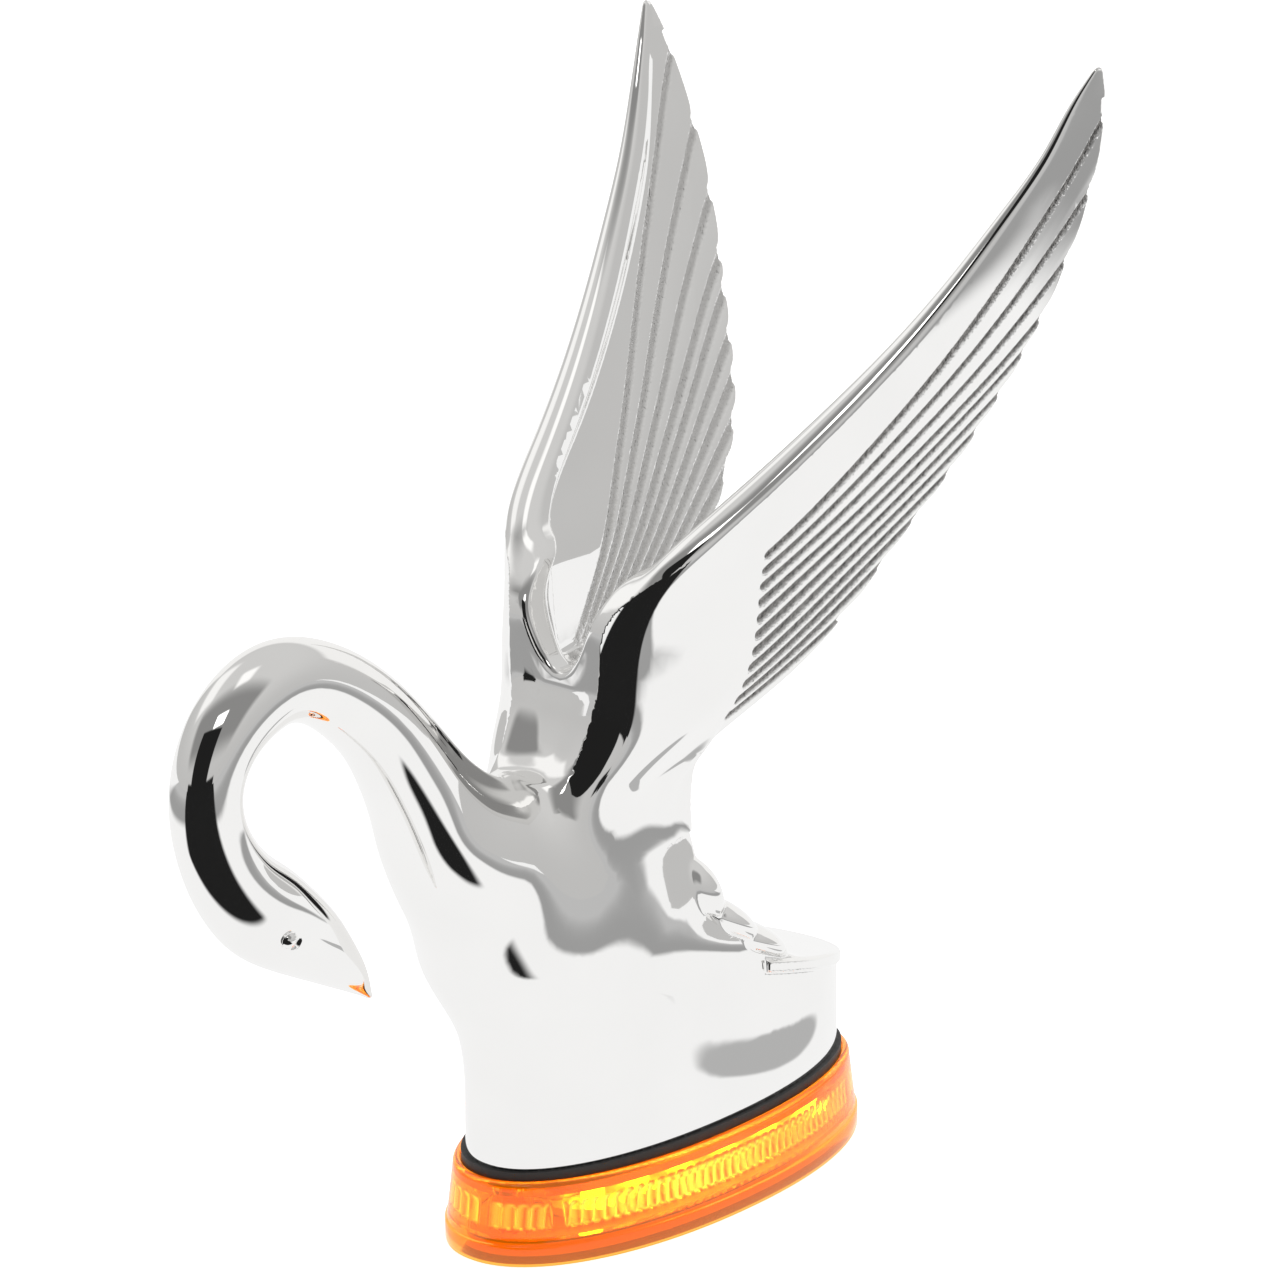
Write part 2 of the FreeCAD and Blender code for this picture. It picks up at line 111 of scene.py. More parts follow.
# Neck and head, sections square to the centre line: centre X, centre Z, half height in
# the XZ plane, half width, and how much wider the front of the section is than its back.
NECK = [
    (37.5, 73.9, 25.5, 15.4, 0.00), (48.8, 81.0, 20.6, 15.3, 0.12), (56.5, 88.6, 16.4, 14.5, 0.25),
    (61.6, 94.9, 13.6, 12.9, 0.34), (66.2, 101.6, 11.5, 11.0, 0.34), (71.4, 109.4, 10.1, 9.8, 0.28),
    (77.6, 117.6, 9.1, 9.0, 0.20), (86.0, 125.8, 8.6, 8.5, 0.12), (96.2, 132.4, 8.2, 8.1, 0.06),
    (106.2, 134.8, 8.2, 8.0, 0.00), (115.0, 132.2, 8.0, 7.7, 0.00), (121.6, 126.6, 7.4, 7.3, 0.00),
    (125.0, 119.4, 7.0, 7.0, 0.00), (125.2, 112.2, 7.1, 7.1, 0.00), (123.0, 105.0, 7.7, 7.6, 0.00),
    (118.4, 97.4, 8.8, 8.4, 0.00), (112.4, 91.2, 9.7, 8.6, 0.00), (105.6, 85.8, 9.0, 7.8, 0.00),
    (99.0, 80.6, 7.5, 6.4, 0.00), (93.2, 75.4, 5.5, 4.6, 0.00), (88.0, 70.2, 3.2, 2.9, 0.00),
    (84.2, 65.6, 0.8, 0.9, 0.00),
]
NECK_SAMPLES = 120          # points tried on each half of the centre line
NECK_BATCH = 20000          # points of the casting worked on at a time
EYE = (112.0, 86.8)
EYE_R = 1.7
EYE_Y = 6.9
EYE_HOLLOW = (2.7, 2.0)     # half sizes of the recess round the eye
EYE_HOLLOW_DEPTH = 0.55
EYE_REACH = 8.0

# Left wing: height, leading X and Y, trailing X and Y, thickness, outward bulge.
WING = [
    (80.0, 34.0, 6.0, 10.0, 8.5, 11.0, 1.0), (94.0, 37.2, 6.8, 7.0, 12.5, 12.6, 1.5),
    (101.0, 34.4, 8.2, -5.0, 15.0, 13.2, 2.2), (108.0, 30.6, 9.4, -20.0, 17.6, 13.6, 3.0),
    (120.0, 28.4, 11.2, -38.0, 20.8, 12.0, 4.0),
    (132.0, 25.0, 14.2, -49.0, 24.2, 9.8, 4.0), (144.0, 17.0, 21.2, -58.7, 28.5, 8.0, 3.6),
    (156.0, 1.4, 28.0, -65.0, 33.6, 7.0, 3.0), (168.0, -14.0, 34.2, -69.2, 39.0, 6.2, 2.6),
    (180.0, -27.4, 40.2, -72.4, 43.8, 5.4, 2.1), (192.0, -38.8, 45.4, -74.4, 48.1, 4.6, 1.6),
    (204.0, -48.8, 50.0, -75.0, 52.2, 3.8, 1.1), (216.0, -57.2, 54.6, -73.8, 56.0, 2.8, 0.6),
    (226.0, -62.6, 57.4, -71.6, 58.6, 1.9, 0.2), (233.0, -67.0, 60.0, -68.6, 60.1, 0.9, 0.0),
]
EDGE_HALF = 0.8             # half thickness of the trailing edge
NOSE_SHAPE = 1.2            # length of the rounded leading edge over its half thickness
NOTCH_DEPTH = 1.1           # of the cuts between the feathers' tips
THINNEST = 0.25             # least half thickness under a groove
POCKET_FLOOR_Z = 112.5      # lowest point of the inner face's pocket
# Inner face's rim: height, how far behind the leading edge, width of the wall.
RIM = [
    (108.0, 14.0, 2.2), (114.0, 11.5, 2.2), (122.0, 8.5, 2.6), (132.0, 7.5, 4.0), (144.0, 7.0, 7.0),
    (168.0, 6.0, 9.0), (192.0, 5.0, 8.0), (216.0, 3.0, 5.0), (233.0, 1.0, 2.0),
]

# Web between the wings: height, front X, rear X.
WEB = [
    (84.0, 37.5, 4.0), (92.0, 36.6, 3.0), (97.0, 34.8, 2.0), (103.0, 31.8, 1.0), (110.0, 29.0, 0.0),
    (117.0, 28.4, 0.0), (124.0, 28.8, 0.0), (132.0, 27.2, 0.0), (140.0, 17.0, 0.0), (150.0, 0.0, 0.0),
]
WEB_RIM_Z = 118.0           # lowest point of the web's front rim
WEB_RIM_RISE = 0.16         # times the square of the distance aside, added to that height
WEB_RIM_DEPTH = 6.0
WEB_END_Z = 139.0           # the rim is inside the wings above this

# Feather grooves, each from its start to a notch in the trailing edge.
NOTCH_Z = [223.0, 207.2, 192.6, 180.3, 173.4, 164.4, 156.6, 148.4, 140.0, 130.5, 121.0]
GROOVE_HALF = 1.0
GROOVE_DEPTH = 0.5          # of the outer face's grooves
INNER_GROOVE_DEPTH = 0.45
OUTER_CROWN = 0.16          # rise of a feather between two grooves
INNER_CROWN = 0.10
INNER_GROOVES_FROM_Z = 115.0

# Fillets where the casting's forms meet, and the finest cells of its mesh.
BODY_FILLET = 9.0
WING_FILLET = 6.0
TAIL_FILLET = 0.8
WEB_FILLET = 4.0
FULL_MESH = (0.42, 4, 190000)


# ---- maths ----
class Table:
    """Natural cubic splines through the rows of a table, by its first column."""

    def __init__(self, rows):
        rows = np.array(rows, float)
        self.at_x = rows[:, 0]
        self.values = rows[:, 1:]
        step = np.diff(self.at_x)
        count = len(rows)
        matrix = np.eye(count)
        right = np.zeros((count, self.values.shape[1]))
        for i in range(1, count - 1):
            matrix[i, i - 1:i + 2] = step[i - 1], 2 * (step[i - 1] + step[i]), step[i]
            rise = np.diff(self.values[i - 1:i + 2], axis=0) / step[i - 1:i + 1, None]
            right[i] = 6 * (rise[1] - rise[0])
        self.bend = np.linalg.solve(matrix, right)

    def __call__(self, x):
        """Each column at x, held at its end values outside the table."""
        x = np.clip(np.asarray(x, float), self.at_x[0], self.at_x[-1])
        i = np.clip(np.searchsorted(self.at_x, x) - 1, 0, len(self.at_x) - 2)
        step = self.at_x[i + 1] - self.at_x[i]
        b = (x - self.at_x[i]) / step
        a = 1.0 - b
        a3 = (a ** 3 - a) * step ** 2 / 6
        b3 = (b ** 3 - b) * step ** 2 / 6
        out = (a[..., None] * self.values[i] + b[..., None] * self.values[i + 1]
               + a3[..., None] * self.bend[i] + b3[..., None] * self.bend[i + 1])
        return [out[..., k] for k in range(out.shape[-1])]


def soft_min(a, b, size):
    """The smaller of two distances, with a fillet where they cross."""
    h = np.clip(0.5 + 0.5 * (b - a) / size, 0.0, 1.0)
    return b * (1 - h) + a * h - size * h * (1 - h)


def soft_max(a, b, size):
    """The larger of two distances, with a fillet where they cross."""
    return -soft_min(-a, -b, size)


def ease(t):
    """0 to 1 with no slope at either end."""
    t = np.clip(t, 0.0, 1.0)
    return t * t * t * (t * (6 * t - 15) + 10)


def oval_distance(x, y, a, b, power=OVAL_POWER):
    """Rough distance to a level superellipse of half sizes a and b."""
    px = np.abs(x) / a + 1e-9
    py = np.abs(y) / b + 1e-9
    k = (px ** power + py ** power) ** (1.0 / power)
    slope = k ** (1 - power) * np.hypot(px ** (power - 1) / a, py ** (power - 1) / b)
    return (k - 1.0) / slope


def ellipse_distance(x, y, a, b):
    """Rough distance to an ellipse of half sizes a and b."""
    return ellipsoid_distance(x, y, 0.0, a, b, 1.0)


def ellipsoid_distance(x, y, z, a, b, c):
    """Rough distance to an ellipsoid of half sizes a, b and c."""
    k0 = np.sqrt((x / a) ** 2 + (y / b) ** 2 + (z / c) ** 2) + 1e-9
    k1 = np.sqrt((x / a ** 2) ** 2 + (y / b ** 2) ** 2 + (z / c ** 2) ** 2) + 1e-9
    return k0 * (k0 - 1.0) / k1


# ---- neck and head ----
def neck_table():
    """Splines of the neck's rows by the length along its centre line, and that length."""
    rows = np.array(NECK)
    along = np.concatenate([[0.0], np.cumsum(np.hypot(*np.diff(rows[:, :2], axis=0).T))])
    return Table(np.column_stack([along, rows])), along[-1]


NECK_LINE, NECK_LENGTH = neck_table()


def neck_distance(x, y, z):
    """The rising half of the neck's centre line and the half that curls down to the beak."""
    top = 0.5 * NECK_LENGTH
    return np.minimum(tube_distance(x, y, z, 0.0, top), tube_distance(x, y, z, top, NECK_LENGTH))


def tube_distance(x, y, z, start_at, end_at):
    """Nearest point of a stretch of the centre line, then the oval section there."""
    stations = np.linspace(start_at, end_at, NECK_SAMPLES)
    sx, sz = NECK_LINE(stations)[:2]
    near = np.empty(len(x))
    for start in range(0, len(x), NECK_BATCH):
        part = slice(start, start + NECK_BATCH)
        gap = (x[part, None] - sx) ** 2 + (z[part, None] - sz) ** 2
        near[part] = stations[np.argmin(gap, axis=1)]
    step = 0.2
    for _ in range(4):
        ax, az = NECK_LINE(near - step)[:2]
        mx, mz = NECK_LINE(near)[:2]
        bx, bz = NECK_LINE(near + step)[:2]
        tx, tz = (bx - ax) / (2 * step), (bz - az) / (2 * step)
        kx, kz = (ax + bx - 2 * mx) / step ** 2, (az + bz - 2 * mz) / step ** 2
        error = (mx - x) * tx + (mz - z) * tz
        slope = tx * tx + tz * tz + (mx - x) * kx + (mz - z) * kz
        near = np.clip(near - np.clip(error / np.maximum(slope, 0.15), -0.8, 0.8), start_at, end_at)
    cx, cz, half_height, half_width, egg = NECK_LINE(near)
    off = np.hypot(x - cx, z - cz)
    backward = ((z - cz) * tx - (x - cx) * tz) / np.maximum(np.hypot(tx, tz) * half_height, 0.5)
    half_width = half_width * (1.0 - egg * np.clip(backward, -1.2, 1.2))
    return ellipse_distance(off, y, np.maximum(half_height, 0.4), np.maximum(half_width, 0.4))


def head_details(d, x, y, z):
    """Eyes: a ball in a shallow oval recess on each side."""
    side = np.abs(y)
    ex, ez = EYE
    close = (np.abs(x - ex) < EYE_REACH) & (np.abs(z - ez) < EYE_REACH)
    if not close.any():
        return d
    px, py, pz = x[close], side[close], z[close]
    forward = 0.8 * (px - ex) + 0.6 * (pz - ez)
    upward = -0.6 * (px - ex) + 0.8 * (pz - ez)
    spot = ellipse_distance(forward, upward, *EYE_HOLLOW)
    hollow = d[close] + EYE_HOLLOW_DEPTH * (1 - ease((spot + 1.0) / 1.6))
    ball = np.sqrt((px - ex) ** 2 + (py - EYE_Y) ** 2 + (pz - ez) ** 2) - EYE_R
    d = d.copy()
    d[close] = soft_min(hollow, ball, 0.25)
    return d


# ---- body ----
BREAST_TABLE = Table(BREAST)
BACK_TABLE = Table(BACK)


def tail_plane(x):
    """Height of the tail's flat top."""
    (x0, z0), (x1, z1) = TAIL_TOP
    return z0 + (z1 - z0) / (x1 - x0) * (x - x0)


def body_distance(x, y, z):
    """The skirt and body: an oval column under the tail's plane, the petals' slope and the back."""
    front, half_width = BREAST_TABLE(z)
    back, = BACK_TABLE(z)
    above = ease((z - SKIRT_TOP) / BODY_BLEND)
    rear = -SKIRT_HALF_LENGTH + above * (back - BACK_OVERLAP + SKIRT_HALF_LENGTH)
    fullness = OVAL_POWER + BODY_SQUARER * above * (1 - ease((z - SQUARER_TO_Z) / SQUARER_FADE))
    column = oval_distance(x - 0.5 * (front + rear), y, 0.5 * (front - rear), half_width, fullness)
    below_tail = (z - tail_plane(x)) * 0.96
    upper = oval_distance(x - BACK_CENTRE_X, y, BACK_CENTRE_X - back, BACK_HALF_WIDTH, BACK_POWER)
    upper = np.where(x > BACK_CENTRE_X, -20.0, upper)
    upper = soft_max(upper, (z - SADDLE_TOP) * 0.9, 6.0)
    below_petals = (z - PETAL_RAMP_Z - PETAL_RAMP * (x - PETAL_RAMP_X)) / math.hypot(1.0, PETAL_RAMP)
    top = soft_min(soft_min(below_tail, below_petals, 1.0), upper, 2.0)
    return soft_max(column, top, 0.8)


def petal_distance(x, y, z, petal):
    """A tilted egg with a flat underside, on each side of the tail."""
    (cx, cy, cz), (a, b, c), drop = petal
    dx, dy = x - cx, np.abs(y) - cy
    dz = z - cz - drop * dx
    blob = ellipsoid_distance(dx, dy, dz, a, b, c)
    floor = -dz - PETAL_UNDERSIDE * c
    return soft_max(blob, floor * 0.85, 0.5)


def tail_distance(x, y, z):
    """The tail's plate, a little proud of the skirt, and three petals a side."""
    plate = oval_distance(x, y, SKIRT_HALF_LENGTH + PLATE_PROUD_REAR, SKIRT_HALF_WIDTH + PLATE_PROUD_SIDE)
    top = (z - tail_plane(x)) * 0.96
    plate = soft_max(plate, np.maximum(top, -top - PLATE_THICK), 0.5)
    d = np.maximum(plate, x - PLATE_FRONT_X)
    for petal in PETALS:
        d = soft_min(d, petal_distance(x, y, z, petal), 0.35)
    return d


# ---- wings ----
WING_TABLE = Table(WING)
RIM_TABLE = Table(RIM)
WEB_TABLE = Table(WEB)


def trail_x(z):
    """X of the trailing edge at a height."""
    return WING_TABLE(z)[2]


def bend(start, control, end, count=17):
    """Points of a quadratic curve."""
    t = np.linspace(0.0, 1.0, count)[:, None]
    return (1 - t) ** 2 * np.array(start) + 2 * t * (1 - t) * np.array(control) + t ** 2 * np.array(end)


def groove_lines(inner):
    """The grooves of one face in the XZ plane, the top one first."""
    last = len(NOTCH_Z) - 1
    lines = []
    for i, notch in enumerate(NOTCH_Z):
        end = (float(trail_x(notch)) - 0.6, notch)
        share = i / last
        if inner:
            start = (4.6 - 2.9 * i, 115.3 - 0.3 * i)
            control = (-28.8 - 12.0 * share + 9.3 * share ** 2, 148.8 - 30.0 * share - 2.8 * share ** 2)
        else:
            start = (-2.0 - 3.2 * math.sin(math.pi * (0.12 + 0.76 * share)), 140.5 - 3.6 * i)
            control = (-40.0 + 3.6 * share + 14.9 * share ** 2, 167.0 - 72.0 * share + 17.0 * share ** 2)
        lines.append(bend(start, control, end))
    return lines


def line_gap(px, pz, line):
    """Distance from points to a run of straight pieces."""
    best = np.full(px.shape, 1e9)
    for (x0, z0), (x1, z1) in zip(line[:-1], line[1:]):
        dx, dz = x1 - x0, z1 - z0
        t = np.clip(((px - x0) * dx + (pz - z0) * dz) / (dx * dx + dz * dz), 0.0, 1.0)
        best = np.minimum(best, (px - x0 - t * dx) ** 2 + (pz - z0 - t * dz) ** 2)
    return np.sqrt(best)


class FeatherMap:
    """For each point of the XZ plane, the distance to the nearest and next groove."""

    def __init__(self, inner):
        self.step = 0.35
        self.low = np.array([-80.0, 92.0])
        xs = np.arange(self.low[0], 12.0, self.step)
        zs = np.arange(self.low[1], 236.0, self.step)
        px, pz = np.meshgrid(xs, zs, indexing="ij")
        gaps = np.sort([line_gap(px, pz, line) for line in groove_lines(inner)], axis=0)
        self.near = gaps[0]
        self.next = gaps[1]

    def __call__(self, x, z):
        u = np.clip((x - self.low[0]) / self.step, 0, self.near.shape[0] - 1.001)
        v = np.clip((z - self.low[1]) / self.step, 0, self.near.shape[1] - 1.001)
        i, j = u.astype(int), v.astype(int)
        u, v = u - i, v - j
        out = []
        for field in (self.near, self.next):
            out.append((1 - u) * ((1 - v) * field[i, j] + v * field[i, j + 1])
                       + u * ((1 - v) * field[i + 1, j] + v * field[i + 1, j + 1]))
        return out


OUTER_FEATHERS = FeatherMap(False)
INNER_FEATHERS = FeatherMap(True)


def groove_mask(near):
    """1 in a groove's bottom, 0 outside the groove."""
    return 1.0 - ease((near - 0.45 * GROOVE_HALF) / (0.9 * GROOVE_HALF))


def wing_frame(x, y, z):
    """Level-section coordinates: u behind the leading edge, w outward of the middle."""
    lead_x, lead_y, rear_x, rear_y, thick, bulge = WING_TABLE(z)
    ex, ey = rear_x - lead_x, rear_y - lead_y
    chord = np.hypot(ex, ey)
    ex, ey = ex / chord, ey / chord
    u = (x - lead_x) * ex + (y - lead_y) * ey
    v = (x - lead_x) * ey - (y - lead_y) * ex
    share = np.clip(u / chord, 0.0, 1.0)
    return u, v - bulge * 4 * share * (1 - share), chord, 0.5 * thick


def notch_depth(z):
    """How far the trailing edge is cut back between feather tips."""
    edges = np.array(NOTCH_Z[::-1])
    i = np.clip(np.searchsorted(edges, z), 1, len(edges) - 1)
    span = edges[i] - edges[i - 1]
    below = np.clip((z - edges[i - 1]) / span, 0.0, 1.0)
    depth = NOTCH_DEPTH * np.exp(-np.minimum(below, 1 - below) * span / NOTCH_DEPTH)
    return np.where((z > edges[0] - 3) & (z < edges[-1] + 3), depth, 0.0)


def wing_distance(x, y, z):
    """One wing, on the side where y is positive."""
    u, w, chord, half = wing_frame(x, y, z)
    edge = np.minimum(EDGE_HALF, 0.1 * chord)
    half = np.minimum(half, 0.3 * chord)
    nose = np.minimum(NOSE_SHAPE * half, 0.4 * chord)
    share = np.clip((u - 0.5 * nose) / (chord - 0.5 * nose), 0.0, 1.0)
    outer = edge + (half - edge) * (1 - ease(share))
    behind, wall = RIM_TABLE(z)
    inside = soft_min(u - behind, z - POCKET_FLOOR_Z, 7.0)
    floor = edge + 0.1 * (half - edge)
    full = edge + (half - edge) * (1 - ease(0.9 * share ** 1.3 + 0.1 * share))
    inner = full + (np.minimum(floor, full) - full) * ease(inside / wall)

    near_out, next_out = OUTER_FEATHERS(x, z)
    near_in, next_in = INNER_FEATHERS(x, z)
    crown_out = OUTER_CROWN * ease(near_out / np.maximum(near_out + next_out, 0.1) * 2.0)
    crown_in = INNER_CROWN * ease(near_in / np.maximum(near_in + next_in, 0.1) * 2.0)
    flat = np.clip((chord - 8.0) / 10.0, 0.0, 1.0)
    outer = np.maximum(outer - GROOVE_DEPTH * groove_mask(near_out) + crown_out * flat, THINNEST)
    floor_share = ease(inside / wall * 1.2 - 0.6) * ease((z - INNER_GROOVES_FROM_Z) / 5.0)
    cut = INNER_GROOVE_DEPTH * groove_mask(near_in) - crown_in
    inner = np.maximum(inner - floor_share * cut, THINNEST)

    side = np.where(w > 0, outer, inner)
    lean = 1.0 / np.hypot(1.0, (trail_x(z + 0.5) - trail_x(z - 0.5)) * 0.9)
    reach = chord - notch_depth(z) - edge / lean
    plate = np.maximum(w - outer, -w - inner)
    rounded = np.hypot((u - reach) * lean, w) - side
    front = ellipse_distance(u - nose, w, nose, side)
    d = np.where(u < nose, front, np.where(u > reach, rounded, plate))
    return soft_max(d, 0.7 * (z - (WING_TOP - 0.1)), 0.8)


# ---- the whole casting ----
WING_BOX = ((-84, -14, 70), (46, 72, 240))
OUTSIDE_GAP = 12.0          # added to a box's distance, so that no fillet reaches its side


def far_box(x, y, z, low, high):
    """Rough distance outside a box, less than 0 inside it."""
    gap = np.maximum(np.maximum(low[0] - x, x - high[0]), np.maximum(low[1] - y, y - high[1]))
    return np.maximum(gap, np.maximum(low[2] - z, z - high[2]))


def place(x, y, z, low, high, field):
    """A field worked out only inside its box, and a safe large distance outside."""
    gap = far_box(x, y, z, low, high)
    out = gap + OUTSIDE_GAP
    inside = gap < 0.0
    if inside.any():
        out[inside] = field(x[inside], y[inside], z[inside])
    return out


def web_distance(x, y, z):
    """The solid between the wings, with a raised rim at the front."""
    front, rear = WEB_TABLE(z)
    rim = (z - WEB_RIM_Z - WEB_RIM_RISE * y * y) / np.hypot(1.0, 2 * WEB_RIM_RISE * y)
    rim = soft_max(rim, z - WEB_END_Z, 4.0)
    strip = soft_max(soft_max(x - front, rim, 1.8), front - WEB_RIM_DEPTH - x, 1.8)
    low = soft_max(soft_max(x - front, rear - x, 3.0), z - POCKET_FLOOR_Z, 3.0)
    _, w, _, _ = wing_frame(x, np.abs(y), z)
    return np.maximum(soft_min(strip, low, 3.0), w)


def wings_distance(x, y, z):
    """Both wings and the web between them."""
    left = place(x, y, z, *WING_BOX, wing_distance)
    right = place(x, -y, z, *WING_BOX, wing_distance)
    web = place(x, y, z, (-10, -30, 80), (46, 30, 150), web_distance)
    return soft_min(np.minimum(left, right), web, WEB_FILLET)


def swan_distance(points):
    """Distance to the whole casting, less than 0 inside it."""
    x, y, z = points[:, 0], points[:, 1], points[:, 2]
    neck = place(x, y, z, (10, -34, 45), (145, 34, 155), neck_distance)
    neck = head_details(neck, x, y, z)
    body = place(x, y, z, (-66, -38, 5), (76, 38, 125), body_distance)
    tail = place(x, y, z, (-66, -38, 25), (24, 38, 90), tail_distance)
    wings = place(x, y, z, (-90, -76, 68), (50, 76, 242), wings_distance)
    d = soft_min(body, neck, BODY_FILLET)
    d = soft_min(d, wings, WING_FILLET)
    d = soft_min(d, tail, TAIL_FILLET)
    return np.maximum(d, SKIRT_Z - z)


# ---- meshing ----
CORNERS = np.array([(i, j, k) for i in (0, 1) for j in (0, 1) for k in (0, 1)])
EDGES = [(a, b) for a in range(8) for b in range(a + 1, 8) if np.abs(CORNERS[a] - CORNERS[b]).sum() == 1]
AXES = np.eye(3, dtype=int)
KEY_SPAN = 4096


def keys(cells):
    return (cells[:, 0] * KEY_SPAN + cells[:, 1]) * KEY_SPAN + cells[:, 2]


def surface_cells(distance, low, high, size, levels):
    """Small cells near the surface, found by halving larger ones."""
    big = size * 2 ** levels
    counts = np.ceil((np.array(high) - low) / big).astype(int)
    cells = np.array(np.meshgrid(*[np.arange(n) for n in counts], indexing="ij")).reshape(3, -1).T
    for level in range(levels + 1):
        now = size * 2 ** (levels - level)
        d = distance(low + (cells + 0.5) * now)
        cells = cells[np.abs(d) < 1.9 * now + 0.4]
        if level < levels:
            cells = (cells[:, None, :] * 2 + CORNERS[None]).reshape(-1, 3)
    return cells


def surface_mesh(distance, low, high, size, levels):
    """Vertices and quads of the zero surface, one vertex in each cell that it crosses."""
    cells = surface_cells(distance, low, high, size, levels)
    corner_keys = keys((cells[:, None, :] + CORNERS[None]).reshape(-1, 3))
    unique, back = np.unique(corner_keys, return_inverse=True)
    grid = np.column_stack([unique // KEY_SPAN ** 2, unique // KEY_SPAN % KEY_SPAN, unique % KEY_SPAN])
    value = distance(low + grid * size)
    value = np.where(np.abs(value) < 1e-6, 1e-6, value)
    corner = value[back.reshape(-1, 8)]
    mixed = (corner < 0).any(axis=1) & (corner >= 0).any(axis=1)
    cells, corner = cells[mixed], corner[mixed]

    total = np.zeros((len(cells), 3))
    hits = np.zeros(len(cells))
    for a, b in EDGES:
        crossed = (corner[:, a] < 0) != (corner[:, b] < 0)
        share = corner[crossed, a] / (corner[crossed, a] - corner[crossed, b])
        total[crossed] += CORNERS[a] + share[:, None] * (CORNERS[b] - CORNERS[a])
        hits[crossed] += 1
    points = low + (cells + total / hits[:, None]) * size

    cell_keys = keys(cells)
    order = np.argsort(cell_keys)
    sorted_keys = cell_keys[order]
    quads = []
    for axis in range(3):
        one, two = AXES[(axis + 1) % 3], AXES[(axis + 2) % 3]
        end = int(np.nonzero((CORNERS == AXES[axis]).all(axis=1))[0][0])
        start_in = corner[:, 0] < 0
        crossed = np.nonzero(start_in != (corner[:, end] < 0))[0]
        ring = []
        found = np.ones(len(crossed), bool)
        for move in (0 * one, -one, -one - two, -two):
            wanted = keys(cells[crossed] + move)
            at = np.minimum(np.searchsorted(sorted_keys, wanted), len(order) - 1)
            found &= sorted_keys[at] == wanted
            ring.append(order[at])
        ring = np.array(ring).T
        flip = ~start_in[crossed]
        ring[flip] = ring[flip][:, ::-1]
        if not found.all():
            print("open cells:", (~found).sum())
        quads.append(ring[found])
    return points, np.concatenate(quads)


def gradient(distance, points, step=0.04):
    """Slope of the distance at each point."""
    out = np.empty_like(points)
    for axis in range(3):
        move = np.zeros(3)
        move[axis] = step
        out[:, axis] = distance(points + move) - distance(points - move)
    return out / (2 * step)


def settle(distance, points, rounds):
    """Moves points onto the zero surface, and gives the surface's directions there."""
    for _ in range(rounds):
        slope = gradient(distance, points)
        size = np.maximum((slope ** 2).sum(axis=1), 0.1)
        move = distance(points)[:, None] * slope / size[:, None]
        length = np.linalg.norm(move, axis=1, keepdims=True)
        points = points - move * np.minimum(1.0, 0.35 / np.maximum(length, 1e-9))
    slope = gradient(distance, points)
    return points, slope / np.maximum(np.linalg.norm(slope, axis=1, keepdims=True), 1e-9)


def mesh_from(name, points, faces):
    """A mesh from arrays of points in millimetres and of faces of equal size."""
    mesh = bpy.data.meshes.new(name)
    mesh.vertices.add(len(points))
    mesh.vertices.foreach_set("co", (np.asarray(points) * MM).astype(np.float32).ravel())
    corners = faces.shape[1]
    mesh.loops.add(faces.size)
    mesh.loops.foreach_set("vertex_index", faces.astype(np.int32).ravel())
    mesh.polygons.add(len(faces))
    mesh.polygons.foreach_set("loop_start", np.arange(0, faces.size, corners, dtype=np.int32))
    mesh.update(calc_edges=True)
    mesh.validate()
    return mesh


def add_object(name, mesh):
    obj = bpy.data.objects.new(name, mesh)
    bpy.context.scene.collection.objects.link(obj)
    return obj


def thin_out(obj, triangles):
    """Collapses the mesh to about this many triangles."""
    have = sum(len(p.vertices) - 2 for p in obj.data.polygons)
    if have <= triangles:
        return
    modifier = obj.modifiers.new("thin", "DECIMATE")
    modifier.ratio = triangles / have
    graph = bpy.context.evaluated_depsgraph_get()
    thinned = bpy.data.meshes.new_from_object(obj.evaluated_get(graph))
    obj.modifiers.clear()
    obj.data = thinned


def swan_casting():
    """The chrome casting: breast, neck, head, wings and tail in one skin."""
    size, levels, triangles = FULL_MESH
    low = np.array([CAST_LOW[0] - 3, CAST_LOW[1] - 3, SKIRT_Z - 2])
    high = CAST_HIGH + 3
    points, quads = surface_mesh(swan_distance, low, high, size, levels)
    obj = add_object("swan", mesh_from("swan", points, quads))
    thin_out(obj, triangles)
    mesh = obj.data
    co = np.empty(len(mesh.vertices) * 3, np.float32)
    mesh.vertices.foreach_get("co", co)
    points, normals = settle(swan_distance, co.reshape(-1, 3).astype(float) / MM, 2)
    mesh.vertices.foreach_set("co", (points * MM).astype(np.float32).ravel())
    mesh.polygons.foreach_set("use_smooth", np.ones(len(mesh.polygons), bool))
    mesh.update()
    mesh.normals_split_custom_set_from_vertices(normals.astype(np.float32))
    add_groove_shade_and_pits(mesh, points)
    return obj


def add_groove_shade_and_pits(mesh, points):
    """Groove mask for the chrome's painted shade and pitted metal: 1 in the outer faces' grooves, half in
    the inner faces'.
    """
    x, y, z = points[:, 0], np.abs(points[:, 1]), points[:, 2]
    mask = np.zeros(len(points))
    on_wing = z > 96.0
    u, w, chord, _ = wing_frame(x[on_wing], y[on_wing], z[on_wing])
    outside = groove_mask(OUTER_FEATHERS(x[on_wing], z[on_wing])[0])
    inside = 0.5 * groove_mask(INNER_FEATHERS(x[on_wing], z[on_wing])[0])
    mask[on_wing] = np.where(u > 4.0, np.where(w > 0, outside, inside), 0.0)
    attribute = mesh.attributes.new("groove", "FLOAT", "POINT")
    attribute.data.foreach_set("value", mask.astype(np.float32))


